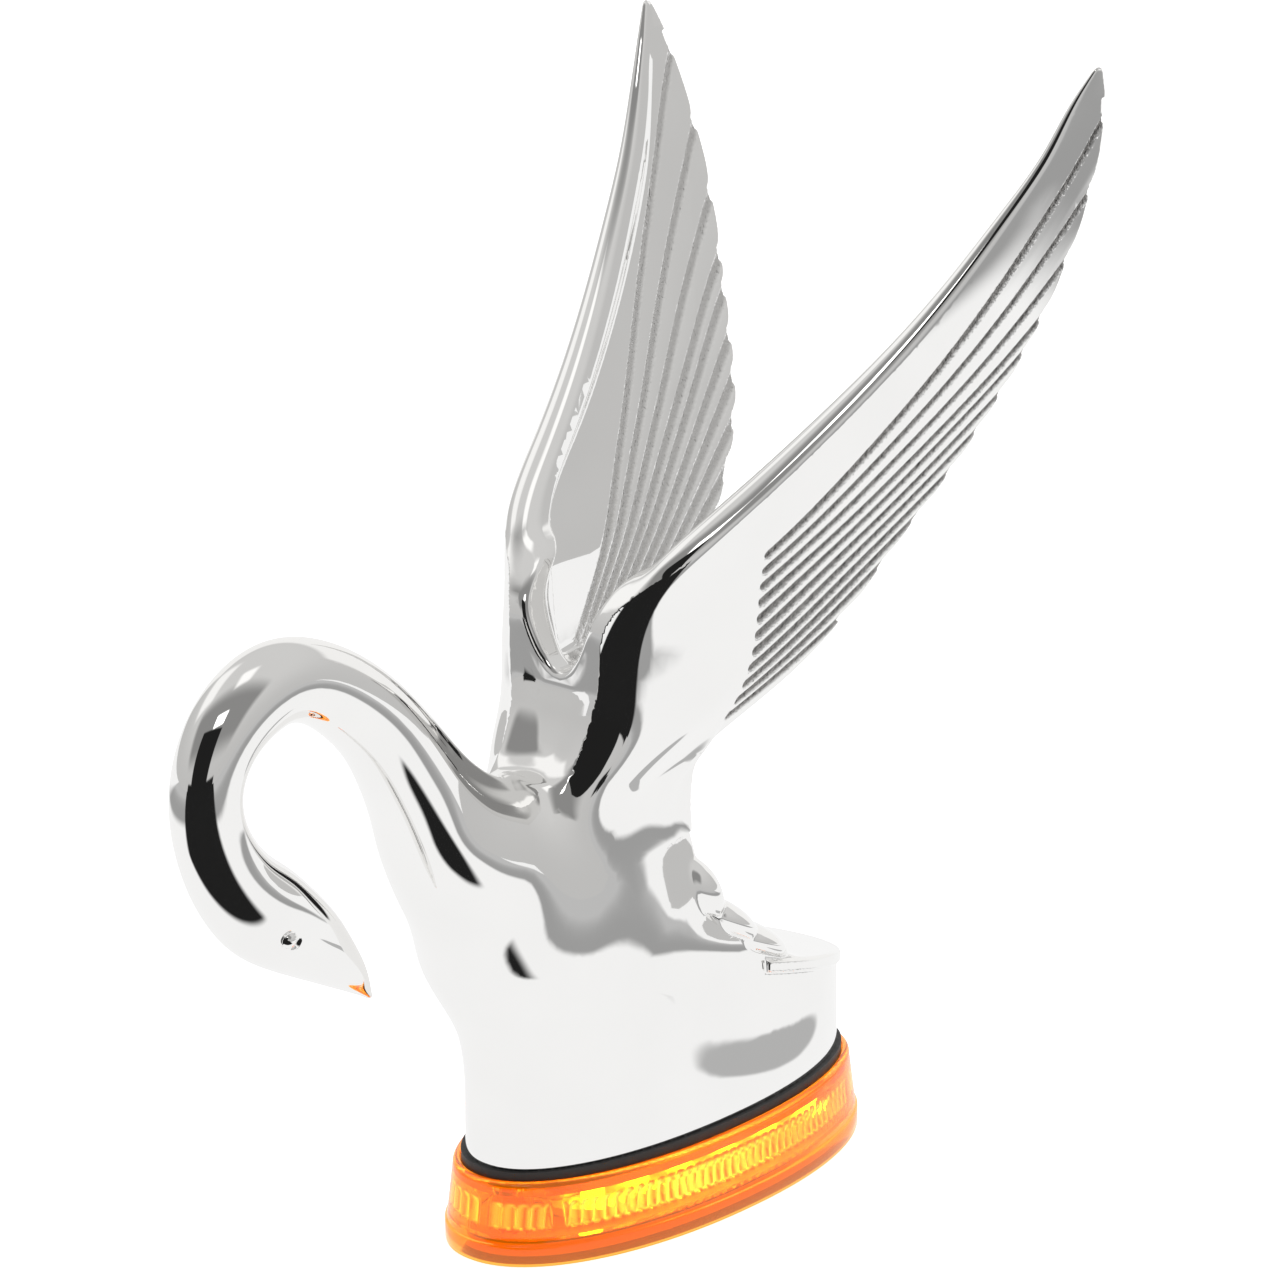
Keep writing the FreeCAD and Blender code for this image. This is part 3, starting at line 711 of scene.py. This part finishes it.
# ---- materials ----
# The plain ones: two colours, scale of the noise, roughness, metal, height of the bumps.
SPECKLED = {
    "black_rubber": ((0.012, 0.012, 0.012), (0.03, 0.03, 0.03), 900, 0.55),
    "plate_plastic": ((0.80, 0.78, 0.72), (0.88, 0.86, 0.80), 700, 0.45),
    "foam": ((0.03, 0.03, 0.03), (0.07, 0.07, 0.07), 1500, 0.9, 0.0, 0.0004),
    "zinc_steel": ((0.55, 0.56, 0.58), (0.70, 0.70, 0.68), 500, 0.28, 1.0),
    "board_white": ((0.80, 0.80, 0.76), (0.90, 0.90, 0.87), 300, 0.35),
    "resistor_body": ((0.62, 0.47, 0.30), (0.75, 0.60, 0.42), 800, 0.4),
    "diode_body": ((0.015, 0.015, 0.015), (0.04, 0.04, 0.04), 800, 0.4),
    "capacitor_can": ((0.66, 0.66, 0.68), (0.80, 0.80, 0.81), 600, 0.3, 1.0),
    "terminal_plastic": ((0.02, 0.20, 0.07), (0.05, 0.30, 0.11), 500, 0.35),
    "nylon": ((0.80, 0.79, 0.74), (0.90, 0.89, 0.84), 500, 0.5),
}
ROUGHNESS_SPREAD = 0.15


def new_material(name, inputs):
    """A material with its nodes, its links and its shader, whose inputs are set by name."""
    material = bpy.data.materials.new(name)
    material.use_nodes = True
    nodes = material.node_tree.nodes
    shader = nodes["Principled BSDF"]
    for key, value in inputs.items():
        shader.inputs[key].default_value = value
    return material, nodes, material.node_tree.links, shader


def add(nodes, kind, **settings):
    """A new node, with inputs or properties set by name."""
    node = nodes.new(kind)
    for key, value in settings.items():
        if key in node.inputs:
            node.inputs[key].default_value = value
        else:
            setattr(node, key, value)
    return node


def noise_at(nodes, links, place_at, scale, detail=2.0):
    """A noise over the piece, from 0 to 1."""
    noise = add(nodes, "ShaderNodeTexNoise", Scale=scale, Detail=detail)
    links.new(place_at.outputs["Object"], noise.inputs["Vector"])
    return noise.outputs["Fac"]


def mixed_colour(nodes, links, share, a, b):
    """A colour from a to b, by a share. Each is three numbers or a socket."""
    mix = add(nodes, "ShaderNodeMix", data_type="RGBA")
    for name, colour in (("A", a), ("B", b)):
        if isinstance(colour, bpy.types.NodeSocket):
            links.new(colour, mix.inputs[name])
        else:
            mix.inputs[name].default_value = (*colour, 1)
    links.new(share, mix.inputs["Factor"])
    return mix.outputs["Result"]


def ranged(nodes, links, share, low, high):
    """A number from low to high, by a share."""
    node = add(nodes, "ShaderNodeMapRange")
    node.inputs["To Min"].default_value = low
    node.inputs["To Max"].default_value = high
    links.new(share, node.inputs["Value"])
    return node.outputs["Result"]


def chrome():
    """Mirror chrome with a faint ripple, and rougher pitted metal in the grooves, whose colour is
    darkened there as painted shade.
    """
    material, nodes, links, shader = new_material("chrome_plate", {"Metallic": 1.0})
    place_at = add(nodes, "ShaderNodeTexCoord")
    ripple = noise_at(nodes, links, place_at, 55.0)
    grain = noise_at(nodes, links, place_at, 900.0, 3.0)
    groove = add(nodes, "ShaderNodeAttribute", attribute_name="groove").outputs["Fac"]
    tint = mixed_colour(nodes, links, ripple, (0.89, 0.885, 0.875), (0.93, 0.925, 0.915))
    # Painted shade: the base colour goes to dark grey in the grooves; their higher roughness and pits are
    # the metal's own.
    links.new(mixed_colour(nodes, links, groove, tint, (0.33, 0.32, 0.31)), shader.inputs["Base Color"])
    links.new(ranged(nodes, links, groove, 0.03, 0.14), shader.inputs["Roughness"])
    pits = add(nodes, "ShaderNodeMath", operation="MULTIPLY")
    links.new(grain, pits.inputs[0])
    links.new(groove, pits.inputs[1])
    bump = add(nodes, "ShaderNodeBump", Strength=1.0, Distance=0.0010)
    links.new(pits.outputs["Value"], bump.inputs["Height"])
    wave = add(nodes, "ShaderNodeBump", Strength=0.04, Distance=0.001)
    links.new(ripple, wave.inputs["Height"])
    links.new(bump.outputs["Normal"], wave.inputs["Normal"])
    links.new(wave.outputs["Normal"], shader.inputs["Normal"])
    return material


def speckled(name, colour, other, scale, roughness, metallic=0.0, bump=0.0002):
    """A surface whose colour, roughness and height vary with a fine noise."""
    material, nodes, links, shader = new_material(name, {"Metallic": metallic})
    noise = noise_at(nodes, links, add(nodes, "ShaderNodeTexCoord"), scale, 4.0)
    links.new(mixed_colour(nodes, links, noise, colour, other), shader.inputs["Base Color"])
    smoothest = max(roughness - ROUGHNESS_SPREAD, 0.02)
    roughest = min(roughness + ROUGHNESS_SPREAD, 1.0)
    links.new(ranged(nodes, links, noise, smoothest, roughest), shader.inputs["Roughness"])
    raised = add(nodes, "ShaderNodeBump", Strength=0.4, Distance=bump)
    links.new(noise, raised.inputs["Height"])
    links.new(raised.outputs["Normal"], shader.inputs["Normal"])
    return material


def amber():
    """Clear amber plastic with a painted glow from the lamps, brightest in its flutes."""
    material, nodes, links, shader = new_material("amber_plastic", {
        "Transmission Weight": 0.85, "IOR": 1.55, "Specular IOR Level": 0.3})
    haze = noise_at(nodes, links, add(nodes, "ShaderNodeTexCoord"), 120.0, 3.0)
    colour = mixed_colour(nodes, links, haze, (1.0, 0.28, 0.002), (1.0, 0.34, 0.005))
    links.new(colour, shader.inputs["Base Color"])
    links.new(ranged(nodes, links, haze, 0.03, 0.10), shader.inputs["Roughness"])
    # Painted glow: the lens emits light, amber between the flutes and pale yellow on them, though it is
    # no lamp.
    painted_flute_glow = add(nodes, "ShaderNodeAttribute", attribute_name="painted_flute_glow").outputs["Fac"]
    glow = mixed_colour(nodes, links, painted_flute_glow, (1.0, 0.26, 0.001), (1.0, 0.92, 0.50))
    links.new(glow, shader.inputs["Emission Color"])
    links.new(ranged(nodes, links, painted_flute_glow, 0.15, 2.2), shader.inputs["Emission Strength"])
    return material


def lit_resin():
    """Clear LED resin that glows warm, a little unevenly."""
    material, nodes, links, shader = new_material("led_resin", {
        "Roughness": 0.1, "Emission Strength": 30.0})
    noise = noise_at(nodes, links, add(nodes, "ShaderNodeTexCoord"), 400.0)
    glow = mixed_colour(nodes, links, noise, (1.0, 0.62, 0.18), (1.0, 0.78, 0.38))
    links.new(glow, shader.inputs["Emission Color"])
    links.new(glow, shader.inputs["Base Color"])
    return material


def all_materials():
    """The materials by the names of the record's slots."""
    made = {"chrome_plate": chrome(), "amber_plastic": amber(), "led_resin": lit_resin()}
    for name, settings in SPECKLED.items():
        made[name] = speckled(name, *settings)
    return made


def set_material(obj, material):
    obj.data.materials.clear()
    obj.data.materials.append(material)


# ---- lens ----
LENS_COUNT = 1080            # points of each ring
FLUTE_PITCH = 2.5
FLUTE_DEPTH = 0.75
FLUTE_GAP_X = 43.5          # smooth upright strips between the side and end blocks
LEDGE_Z = PLATE_HIGH[2] + 0.6
LENS_TOP = LENS_HIGH[2]
RECESS_Z = GASKET_LOW[2]
ROOF_Z = RECESS_Z - 2.6
SHOULDER_INSET = 1.9
RIM_R = 1.2
RECESS_INSET = 3.6
PLATE_RECESS_INSET = 3.3
INNER_FOOT_INSET = 5.4
INNER_ROOF_INSET = 6.6
BUSH_HEAD_R = 7.5
BUSH_X = float(node_box("mounting_bushes")[1][0] - BUSH_HEAD_R)
BUSH_HOLE_R = 5.1
SCREW_HEAD_R = 3.6
SCREW_X = float(node_box("assembly_screws")[1][0] - SCREW_HEAD_R)
SCREW_HOLE_R = 2.2
POST_R = 4.0
POST_FOOT_Z = PLATE_HIGH[2] + 0.05
PAINTED_GLOW_CENTRE_X = 12.0        # the flutes' painted glow is brightest here
PAINTED_GLOW_SPREAD = 24.0
PAINTED_GLOW_BETWEEN = 0.12         # share of the painted glow between two flutes


def oval_points(inset, z):
    """Points of a level oval, an even distance inside the lens's foot."""
    angle = np.linspace(0, 2 * np.pi, LENS_COUNT, endpoint=False)
    c, s = np.cos(angle), np.sin(angle)
    x = np.sign(c) * np.abs(c) ** (2 / OVAL_POWER) * (BASE_HALF_LENGTH - inset)
    y = np.sign(s) * np.abs(s) ** (2 / OVAL_POWER) * (BASE_HALF_WIDTH - inset)
    return np.column_stack([x, y, np.full(LENS_COUNT, float(z))])


def flutes(points):
    """How far each point of the inner wall stands inward, in blocks of upright flutes."""
    steps = np.linalg.norm(np.roll(points, -1, axis=0) - points, axis=1)
    along = np.concatenate([[0.0], np.cumsum(steps)[:-1]])
    pitch = steps.sum() / round(steps.sum() / FLUTE_PITCH)
    wave = np.abs(np.cos(np.pi * along / pitch)) ** 0.8
    x, y = np.abs(points[:, 0]), np.abs(points[:, 1])
    block = ease((np.abs(x - FLUTE_GAP_X) - 0.9) / 0.3)
    end_split = np.where(x > FLUTE_GAP_X, ease((y - 0.8) / 0.3), 1.0)
    return wave * block * end_split


def fluted_ring(inset, z, depth):
    """A level oval with flutes that stand inward by a depth."""
    points = oval_points(inset, z)
    ahead = np.roll(points, -1, axis=0) - np.roll(points, 1, axis=0)
    inward = np.column_stack([-ahead[:, 1], ahead[:, 0], np.zeros(LENS_COUNT)])
    inward /= np.linalg.norm(inward, axis=1, keepdims=True)
    return points + inward * (flutes(points) * depth)[:, None]


def lens_outside():
    """Rings from the inner edge of the foot, round the outside, to the recess's floor."""
    profile = [(PLATE_RECESS_INSET, 0.0), (0.3, 0.0), (0.08, 0.08), (0.0, 0.3), (0.0, LEDGE_Z - 0.4),
               (0.12, LEDGE_Z - 0.15), (0.4, LEDGE_Z), (0.5, LEDGE_Z + 0.25)]
    shoulder_z = LENS_TOP - RIM_R
    for share in (0.2, 0.5, 0.8, 1.0):
        profile.append((0.5 + (SHOULDER_INSET - 0.5) * share,
                        LEDGE_Z + 0.25 + (shoulder_z - LEDGE_Z - 0.25) * share))
    for angle in np.radians([15, 30, 45, 60, 75, 90]):
        profile.append((SHOULDER_INSET + RIM_R * (1 - math.cos(angle)),
                        shoulder_z + RIM_R * math.sin(angle)))
    profile += [(RECESS_INSET - 0.2, LENS_TOP), (RECESS_INSET, LENS_TOP - 0.2), (RECESS_INSET, RECESS_Z)]
    return [oval_points(inset, z) for inset, z in profile]


def lens_inside():
    """Rings from the roof's underside, down the fluted wall, to the foot."""
    rings = []
    heights = [(ROOF_Z, 0.0), (ROOF_Z - 0.5, 0.0), (12.0, 0.02), (11.3, 0.45), (10.7, 0.9), (10.2, 1.0)]
    heights += [(8.5, 1.0), (7.0, 1.0), (6.6, 0.9), (6.2, 0.0)]
    slope = (INNER_ROOF_INSET - INNER_FOOT_INSET) / (ROOF_Z - LEDGE_Z)
    for z, share in heights:
        rings.append(fluted_ring(INNER_FOOT_INSET + slope * (z - LEDGE_Z), z, FLUTE_DEPTH * share))
    rings.append(oval_points(INNER_FOOT_INSET, LEDGE_Z))
    rings.append(oval_points(PLATE_RECESS_INSET, LEDGE_Z))
    return rings


def circle(x, radius, z, count=48):
    """Points of a level circle on the middle line."""
    angle = np.linspace(0, 2 * np.pi, count, endpoint=False)
    return np.column_stack([x + radius * np.cos(angle), radius * np.sin(angle), np.full(count, float(z))])


def bridge(bm, rings, close=False):
    """Quads between rings of equal counts."""
    made = [[bm.verts.new(Vector(p) * MM) for p in ring] for ring in rings]
    pairs = list(zip(made[:-1], made[1:]))
    if close:
        pairs.append((made[-1], made[0]))
    for low, high in pairs:
        for i in range(len(low)):
            j = (i + 1) % len(low)
            bm.faces.new((low[i], low[j], high[j], high[i]))
    return made


def fill_between(bm, outline, holes):
    """A flat face inside an outline, open at the holes."""
    edges = []
    for loop in [outline] + holes:
        for i, vert in enumerate(loop):
            other = loop[(i + 1) % len(loop)]
            edge = bm.edges.get((vert, other))
            edges.append(edge if edge else bm.edges.new((vert, other)))
    bmesh.ops.triangle_fill(bm, use_beauty=True, edges=edges)


def lens():
    """The amber cup: round-shouldered outside, fluted inside, with two screw posts."""
    bm = bmesh.new()
    lit = bm.verts.layers.float.new("painted_flute_glow")
    outside = bridge(bm, lens_outside())
    inside = bridge(bm, lens_inside())
    # Painted glow: the inner wall's flute vertices get their share of the lens's emission, most on the
    # flutes and near the lamps.
    for ring in inside[3:9]:
        points = np.array([vert.co for vert in ring]) / MM
        painted_glow_near_lamps = 0.5 + 0.5 * np.exp(-((points[:, 0] - PAINTED_GLOW_CENTRE_X) / PAINTED_GLOW_SPREAD) ** 2)
        for vert, share in zip(ring, (PAINTED_GLOW_BETWEEN + (1 - PAINTED_GLOW_BETWEEN) * flutes(points)) * painted_glow_near_lamps):
            vert[lit] = share
    for i in range(LENS_COUNT):
        j = (i + 1) % LENS_COUNT
        bm.faces.new((inside[-1][i], inside[-1][j], outside[0][j], outside[0][i]))
    top_holes, roof_holes = [], []
    for x in (BUSH_X, -BUSH_X):
        tube = bridge(bm, [circle(x, BUSH_HOLE_R, RECESS_Z), circle(x, BUSH_HOLE_R, ROOF_Z)])
        top_holes.append(tube[0])
        roof_holes.append(tube[1])
    for x in (SCREW_X, -SCREW_X):
        post = bridge(bm, [circle(x, SCREW_HOLE_R, RECESS_Z), circle(x, SCREW_HOLE_R, POST_FOOT_Z),
                           circle(x, POST_R, POST_FOOT_Z), circle(x, POST_R, ROOF_Z)])
        top_holes.append(post[0])
        roof_holes.append(post[-1])
    fill_between(bm, outside[-1], top_holes)
    fill_between(bm, inside[0], roof_holes)
    bmesh.ops.recalc_face_normals(bm, faces=bm.faces)
    mesh = bpy.data.meshes.new("lens")
    bm.to_mesh(mesh)
    bm.free()
    obj = add_object("lens", mesh)
    smooth_by_angle(mesh, 40.0)
    return obj


def smooth_by_angle(mesh, degrees):
    """Smooth shading, with edges sharper than the angle left crisp."""
    mesh.polygons.foreach_set("use_smooth", np.ones(len(mesh.polygons), bool))
    mesh.set_sharp_from_angle(angle=math.radians(degrees))


# ---- stage ----
# Camera: its angle from Y round to X, its slope down, its roll.
CAMERA_TURN = math.radians(48.32)
CAMERA_LIFT = math.radians(17.36)
CAMERA_ROLL = math.radians(0.548)
CAMERA_AT = (0.7402, 0.6558, 0.4269)
FOCAL_LENGTH = 143.27
TOWARD_CAMERA = Vector((math.sin(CAMERA_TURN), math.cos(CAMERA_TURN), 0))
CAMERA_RIGHT = Vector((-TOWARD_CAMERA.y, TOWARD_CAMERA.x, 0))

# Soft boxes and cards of the studio, as seen from the ornament: degrees right of the
# camera's side, degrees up, half width and half height in degrees, brightness, softness.
STUDIO_PANELS = [
    (-15.0, 50.0, 58.0, 37.0, 0.27, 0.5),
    (-20.0, -10.0, 38.0, 16.0, 0.015, 0.05),
    (0.0, 88.0, 12.0, 12.0, 1.1, 0.12),
    (-125.0, 40.0, 20.0, 16.0, 1.0, 0.15),
    (-24.0, 20.0, 24.0, 24.0, 0.015, 0.04),
    (-12.0, 49.5, 11.0, 6.5, 3.0, 0.05),
    (170.0, 12.0, 44.0, 24.0, 0.95, 0.15),
]
WALL_LOW = 0.56
WALL_HIGH = 0.66

# The floor as the metal mirrors it: brightnesses, and where they change, in metres from the
# ornament. Ahead is towards the camera.
FLOOR_HALF = 6.0
NEAR_FLOOR = 0.97
NEAR_FADE = (0.36, 0.45)
MIDDLE_FLOOR = 0.36
FAR_FLOOR = 0.54
FAR_FADE = (0.5, 1.4)
BEHIND_FADE = (-0.20, -0.32)  # farther behind, it is as bright as near
DARK_FLOOR = 0.015
DARK_FROM = (0.135, 0.150)  # near edge of the dark sector ahead
DARK_LEFT = 1.6             # slopes of its two sides
DARK_RIGHT = 0.34
DARK_EDGE = (-0.02, 0.03)
PATCH_FLOOR = 0.48          # a small grey oval: its centre and half size ahead, and aside
PATCH_AHEAD = (-0.018, 0.042)
PATCH_ASIDE = (0.096, 0.012)
PATCH_EDGE = (1.25, 0.8)


def stage_camera():
    """Camera at the photo's angle, distance and framing."""
    data = bpy.data.cameras.new("camera")
    data.sensor_width = 36.0
    data.lens = FOCAL_LENGTH
    data.clip_start = 0.05
    data.clip_end = 50.0
    camera = bpy.data.objects.new("camera", data)
    bpy.context.scene.collection.objects.link(camera)
    back = TOWARD_CAMERA * math.cos(CAMERA_LIFT) + Vector((0, 0, math.sin(CAMERA_LIFT)))
    up = back.cross(CAMERA_RIGHT)
    right = CAMERA_RIGHT * math.cos(CAMERA_ROLL) - up * math.sin(CAMERA_ROLL)
    up = CAMERA_RIGHT * math.sin(CAMERA_ROLL) + up * math.cos(CAMERA_ROLL)
    matrix = Matrix((right, up, back)).transposed().to_4x4()
    matrix.translation = Vector(CAMERA_AT)
    camera.matrix_world = matrix
    bpy.context.scene.camera = camera


def studio_direction(turn, lift):
    """A direction in the studio: degrees right of the camera's side, and degrees up."""
    turn, lift = math.radians(turn), math.radians(lift)
    level = TOWARD_CAMERA * math.cos(turn) + CAMERA_RIGHT * math.sin(turn)
    return level * math.cos(lift) + Vector((0, 0, math.sin(lift)))


class Graph:
    """Short forms for the arithmetic of a node tree."""

    def __init__(self, tree):
        self.nodes = tree.nodes
        self.links = tree.links

    def feed(self, socket, value):
        """Links a socket to another, or gives it a number."""
        if isinstance(value, bpy.types.NodeSocket):
            self.links.new(value, socket)
        else:
            socket.default_value = value

    def math(self, operation, a, b=0.0):
        """Result of an operation on one or two numbers."""
        node = self.nodes.new("ShaderNodeMath")
        node.operation = operation
        self.feed(node.inputs[0], a)
        self.feed(node.inputs[1], b)
        return node.outputs[0]

    def dot(self, vector, direction):
        """Length of a vector along a direction."""
        node = self.nodes.new("ShaderNodeVectorMath")
        node.operation = "DOT_PRODUCT"
        self.feed(node.inputs[0], vector)
        node.inputs[1].default_value = direction
        return node.outputs["Value"]

    def step(self, value, start, end):
        """0 at start and 1 at end, smooth between."""
        node = self.nodes.new("ShaderNodeMapRange")
        node.interpolation_type = "SMOOTHSTEP"
        self.feed(node.inputs["Value"], value)
        node.inputs["From Min"].default_value = start
        node.inputs["From Max"].default_value = end
        return node.outputs["Result"]

    def blend(self, a, b, share):
        """A number from a to b, by a share."""
        node = self.nodes.new("ShaderNodeMix")
        self.feed(node.inputs["Factor"], share)
        self.feed(node.inputs["A"], a)
        self.feed(node.inputs["B"], b)
        return node.outputs[0]


def stage_floor():
    """Pale floor. Metal mirrors it bright nearby, grey farther off and dark ahead."""
    mesh = bpy.data.meshes.new("floor")
    corners = [(FLOOR_HALF * i, FLOOR_HALF * j, 0) for i, j in ((-1, -1), (1, -1), (1, 1), (-1, 1))]
    mesh.from_pydata(corners, [], [(0, 1, 2, 3)])
    floor = add_object("floor", mesh)
    material, nodes, links, shader = new_material("floor", {
        "Base Color": (0.9, 0.9, 0.9, 1), "Roughness": 0.9,
        "Emission Color": (1, 1, 1, 1), "Emission Strength": 0.8})
    graph = Graph(material.node_tree)
    where = nodes.new("ShaderNodeNewGeometry").outputs["Position"]
    ahead = graph.dot(where, TOWARD_CAMERA)
    aside = graph.dot(where, CAMERA_RIGHT)
    left_line = graph.math("ADD", aside, graph.math("MULTIPLY", ahead, DARK_LEFT))
    right_line = graph.math("SUBTRACT", graph.math("MULTIPLY", ahead, DARK_RIGHT), aside)
    dark = graph.math("MULTIPLY", graph.step(left_line, *DARK_EDGE), graph.step(right_line, *DARK_EDGE))
    dark = graph.math("MULTIPLY", dark, graph.step(ahead, *DARK_FROM))
    distance = graph.math("SQRT", graph.math("ADD", graph.math("POWER", ahead, 2.0),
                                             graph.math("POWER", aside, 2.0)))
    far = graph.blend(MIDDLE_FLOOR, FAR_FLOOR, graph.step(distance, *FAR_FADE))
    far = graph.blend(far, NEAR_FLOOR, graph.step(ahead, *BEHIND_FADE))
    bright = graph.blend(NEAR_FLOOR, far, graph.step(distance, *NEAR_FADE))
    squares = []
    for along, (centre, half) in ((ahead, PATCH_AHEAD), (aside, PATCH_ASIDE)):
        share = graph.math("DIVIDE", graph.math("SUBTRACT", along, centre), half)
        squares.append(graph.math("POWER", share, 2.0))
    patch = graph.math("ADD", *squares)
    bright = graph.blend(bright, PATCH_FLOOR, graph.step(patch, *PATCH_EDGE))
    mirrored = nodes.new("ShaderNodeEmission")
    graph.feed(mirrored.inputs["Strength"], graph.blend(bright, DARK_FLOOR, dark))
    path = nodes.new("ShaderNodeLightPath")
    mix = nodes.new("ShaderNodeMixShader")
    links.new(path.outputs["Is Glossy Ray"], mix.inputs[0])
    links.new(shader.outputs[0], mix.inputs[1])
    links.new(mirrored.outputs[0], mix.inputs[2])
    links.new(mix.outputs[0], nodes["Material Output"].inputs["Surface"])
    set_material(floor, material)


def stage_world():
    """Grey studio walls with soft boxes and dark cards."""
    world = bpy.data.worlds.new("studio")
    bpy.context.scene.world = world
    world.use_nodes = True
    graph = Graph(world.node_tree)
    toward = graph.nodes.new("ShaderNodeTexCoord").outputs["Generated"]
    up = graph.dot(toward, (0, 0, 1))
    light = graph.blend(WALL_LOW, WALL_HIGH, graph.step(up, 0.0, 0.75))
    for turn, lift, half_width, half_height, brightness, softness in STUDIO_PANELS:
        centre = studio_direction(turn, lift)
        right = studio_direction(turn + 90.0, 0.0)
        over = right.cross(centre).normalized()
        depth = graph.math("MAXIMUM", graph.dot(toward, centre), 0.001)
        across = graph.math("ABSOLUTE", graph.math("DIVIDE", graph.dot(toward, right), depth))
        rise = graph.math("ABSOLUTE", graph.math("DIVIDE", graph.dot(toward, over), depth))
        wide, tall = math.tan(math.radians(half_width)), math.tan(math.radians(half_height))
        share = graph.math("MULTIPLY", graph.step(across, wide, wide - softness),
                           graph.step(rise, tall, tall - softness))
        light = graph.blend(light, brightness, share)
    background = graph.nodes["Background"]
    background.inputs["Color"].default_value = (1.0, 0.995, 0.985, 1)
    graph.feed(background.inputs["Strength"], light)


MATERIALS = all_materials()
for part in frame["record"]["subparts"]:
    set_material(frame["nodes"][part["node"]], MATERIALS[part["material_slot"]])

swan = swan_casting()
set_material(swan, MATERIALS["chrome_plate"])
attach(swan, "root")
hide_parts("swan_casting")

amber_lens = lens()
set_material(amber_lens, MATERIALS["amber_plastic"])
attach(amber_lens, "root")
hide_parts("amber_lens")

stage_camera()
stage_floor()
stage_world()
bpy.context.scene.view_settings.view_transform = "Standard"
